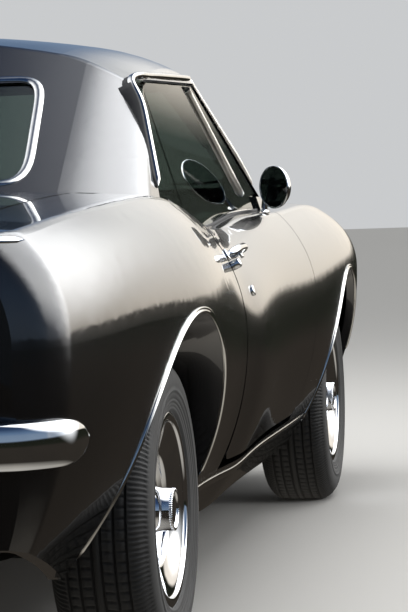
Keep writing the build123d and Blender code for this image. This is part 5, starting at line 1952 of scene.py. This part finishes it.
    def build(self) -> None:
        """Make the ball and hide it from all but glossy rays."""
        arc = [pi * (i / 24 - 0.5) for i in range(25)]
        profile = [(max(0.01, self.radius * cos(a)), self.radius * sin(a)) for a in arc]
        ball = turned("sky_shell", profile, STUDIO_FLOOR, 48)
        ball.data.materials.clear()
        ball.data.materials.append(self.material())
        for ray in ("camera", "diffuse", "transmission", "volume_scatter", "shadow"):
            setattr(ball, f"visible_{ray}", False)
        ball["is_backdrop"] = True


@dataclass
class Studio:
    """Pale floor and backdrop, a broad soft lamp overhead and two soft lamps beside the car.

    Attributes:
        floor_half: Half the floor's side, in metres.
        world_colour: The backdrop's sRGB colour.
        world_strength: Its brightness.
        lamp_target: Height that the lamps beside the car are turned to.
        lamps: Name, place, width, height and power of each lamp.
    """

    floor_half: float = 60.0
    world_colour: str = "E6E8EA"
    world_strength: float = 0.74
    lamp_target: float = 0.5
    lamps: tuple[tuple[str, Point, float, float, float], ...] = (
        ("overhead_softbox", (0.0, 0.0, 4.6), 11.0, 7.0, 330.0),
        ("right_softbox", (-2.5, -5.0, 3.4), 4.0, 1.6, 80.0),
        ("left_softbox", (2.5, 5.0, 3.4), 4.0, 1.6, 80.0))

    def lamp(self, name: str, place: Point, width: float, height: float, power: float) -> None:
        """Add one soft lamp that faces the car and shows in no mirror.

        Args:
            name: The lamp's name.
            place: Where it hangs.
            width: Its width in metres.
            height: Its height.
            power: Its power in watts.
        """
        data = bpy.data.lights.new(name, "AREA")
        data.shape = "RECTANGLE"
        data.size, data.size_y, data.energy = width, height, power
        holder = linked(name, data)
        holder.location = place
        if place[0] or place[1]:
            way = Vector((0, 0, self.lamp_target)) - Vector(place)
            holder.rotation_euler = way.to_track_quat("-Z", "Y").to_euler()
        holder.visible_glossy = holder.visible_transmission = False

    def build(self) -> None:
        """Set up floor, world, lamps and the mirrored sky."""
        size = self.floor_half
        corners = [(-size, -size, 0), (size, -size, 0), (size, size, 0), (-size, size, 0)]
        floor = new_object("studio_floor", corners, [(0, 1, 2, 3)], STUDIO_FLOOR)
        floor.visible_glossy = False
        floor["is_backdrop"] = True
        world = bpy.data.worlds.new("studio_world")
        bpy.context.scene.world = world
        world.use_nodes = True
        background = world.node_tree.nodes["Background"]
        background.inputs["Color"].default_value = linear(self.world_colour)
        background.inputs["Strength"].default_value = self.world_strength
        for lamp in self.lamps:
            self.lamp(*lamp)
        SkyShell().build()


@dataclass(frozen=True)
class PhotoCamera:
    """The photograph's viewpoint, fitted to points of the car."""

    eye: Point = (-6.3275, -1.761, 0.92)
    yaw: float = radians(9.57)
    pitch: float = radians(-2.39)
    roll: float = radians(-1.97)
    focal_pixels: float = 2572.0
    image_height: float = 612.0
    sensor: float = 36.0

    def place(self) -> None:
        """Create the camera and make it the scene's."""
        forward = Vector((cos(self.yaw) * cos(self.pitch), sin(self.yaw) * cos(self.pitch),
                          sin(self.pitch)))
        level = Vector((sin(self.yaw), -cos(self.yaw), 0))
        up = level.cross(forward)
        right = level * cos(self.roll) + up * sin(self.roll)
        above = up * cos(self.roll) - level * sin(self.roll)
        data = bpy.data.cameras.new("photo_camera")
        data.sensor_fit = "VERTICAL"
        data.sensor_height = self.sensor
        data.lens = self.focal_pixels / self.image_height * self.sensor
        camera = linked("photo_camera", data)
        turn = Matrix((right, above, -forward)).transposed()
        camera.matrix_world = Matrix.Translation(self.eye) @ turn.to_4x4()
        bpy.context.scene.camera = camera


def dress_nodes(frame: dict) -> None:
    """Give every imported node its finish.
    """
    for name, thing in frame["nodes"].items():
        finish = next((finish for finish, starts in NODE_FINISHES if name.startswith(starts)), BLACK_ENAMEL)
        thing.data.materials.clear()
        thing.data.materials.append(finish.make())


def main() -> None:
    """Load the frame, build and dress the car, set up the studio, and report each piece."""
    logging.basicConfig(level=logging.INFO, format="%(name)s: %(message)s")
    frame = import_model()
    cad_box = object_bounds()
    dress_nodes(frame)
    BodyForm().lend_normals(frame)
    flank = Skin(frame, ["quarter_panels", "door_left", "front_fenders", "sills", "roof"])
    trim = SideTrim(flank, cad_box[1][1])
    for assembly in (Wheel(), trim, DoorFittings(frame, trim), EndTrim(frame), Cabin(frame), Studio()):
        known = set(bpy.data.objects.keys())
        assembly.build()
        for name in bpy.data.objects.keys():
            if name not in known:
                log.info("%s: %s", type(assembly).__name__, name)
    PhotoCamera().place()
    bpy.context.scene.view_settings.view_transform = "Standard"


if __name__ == "__main__":
    main()
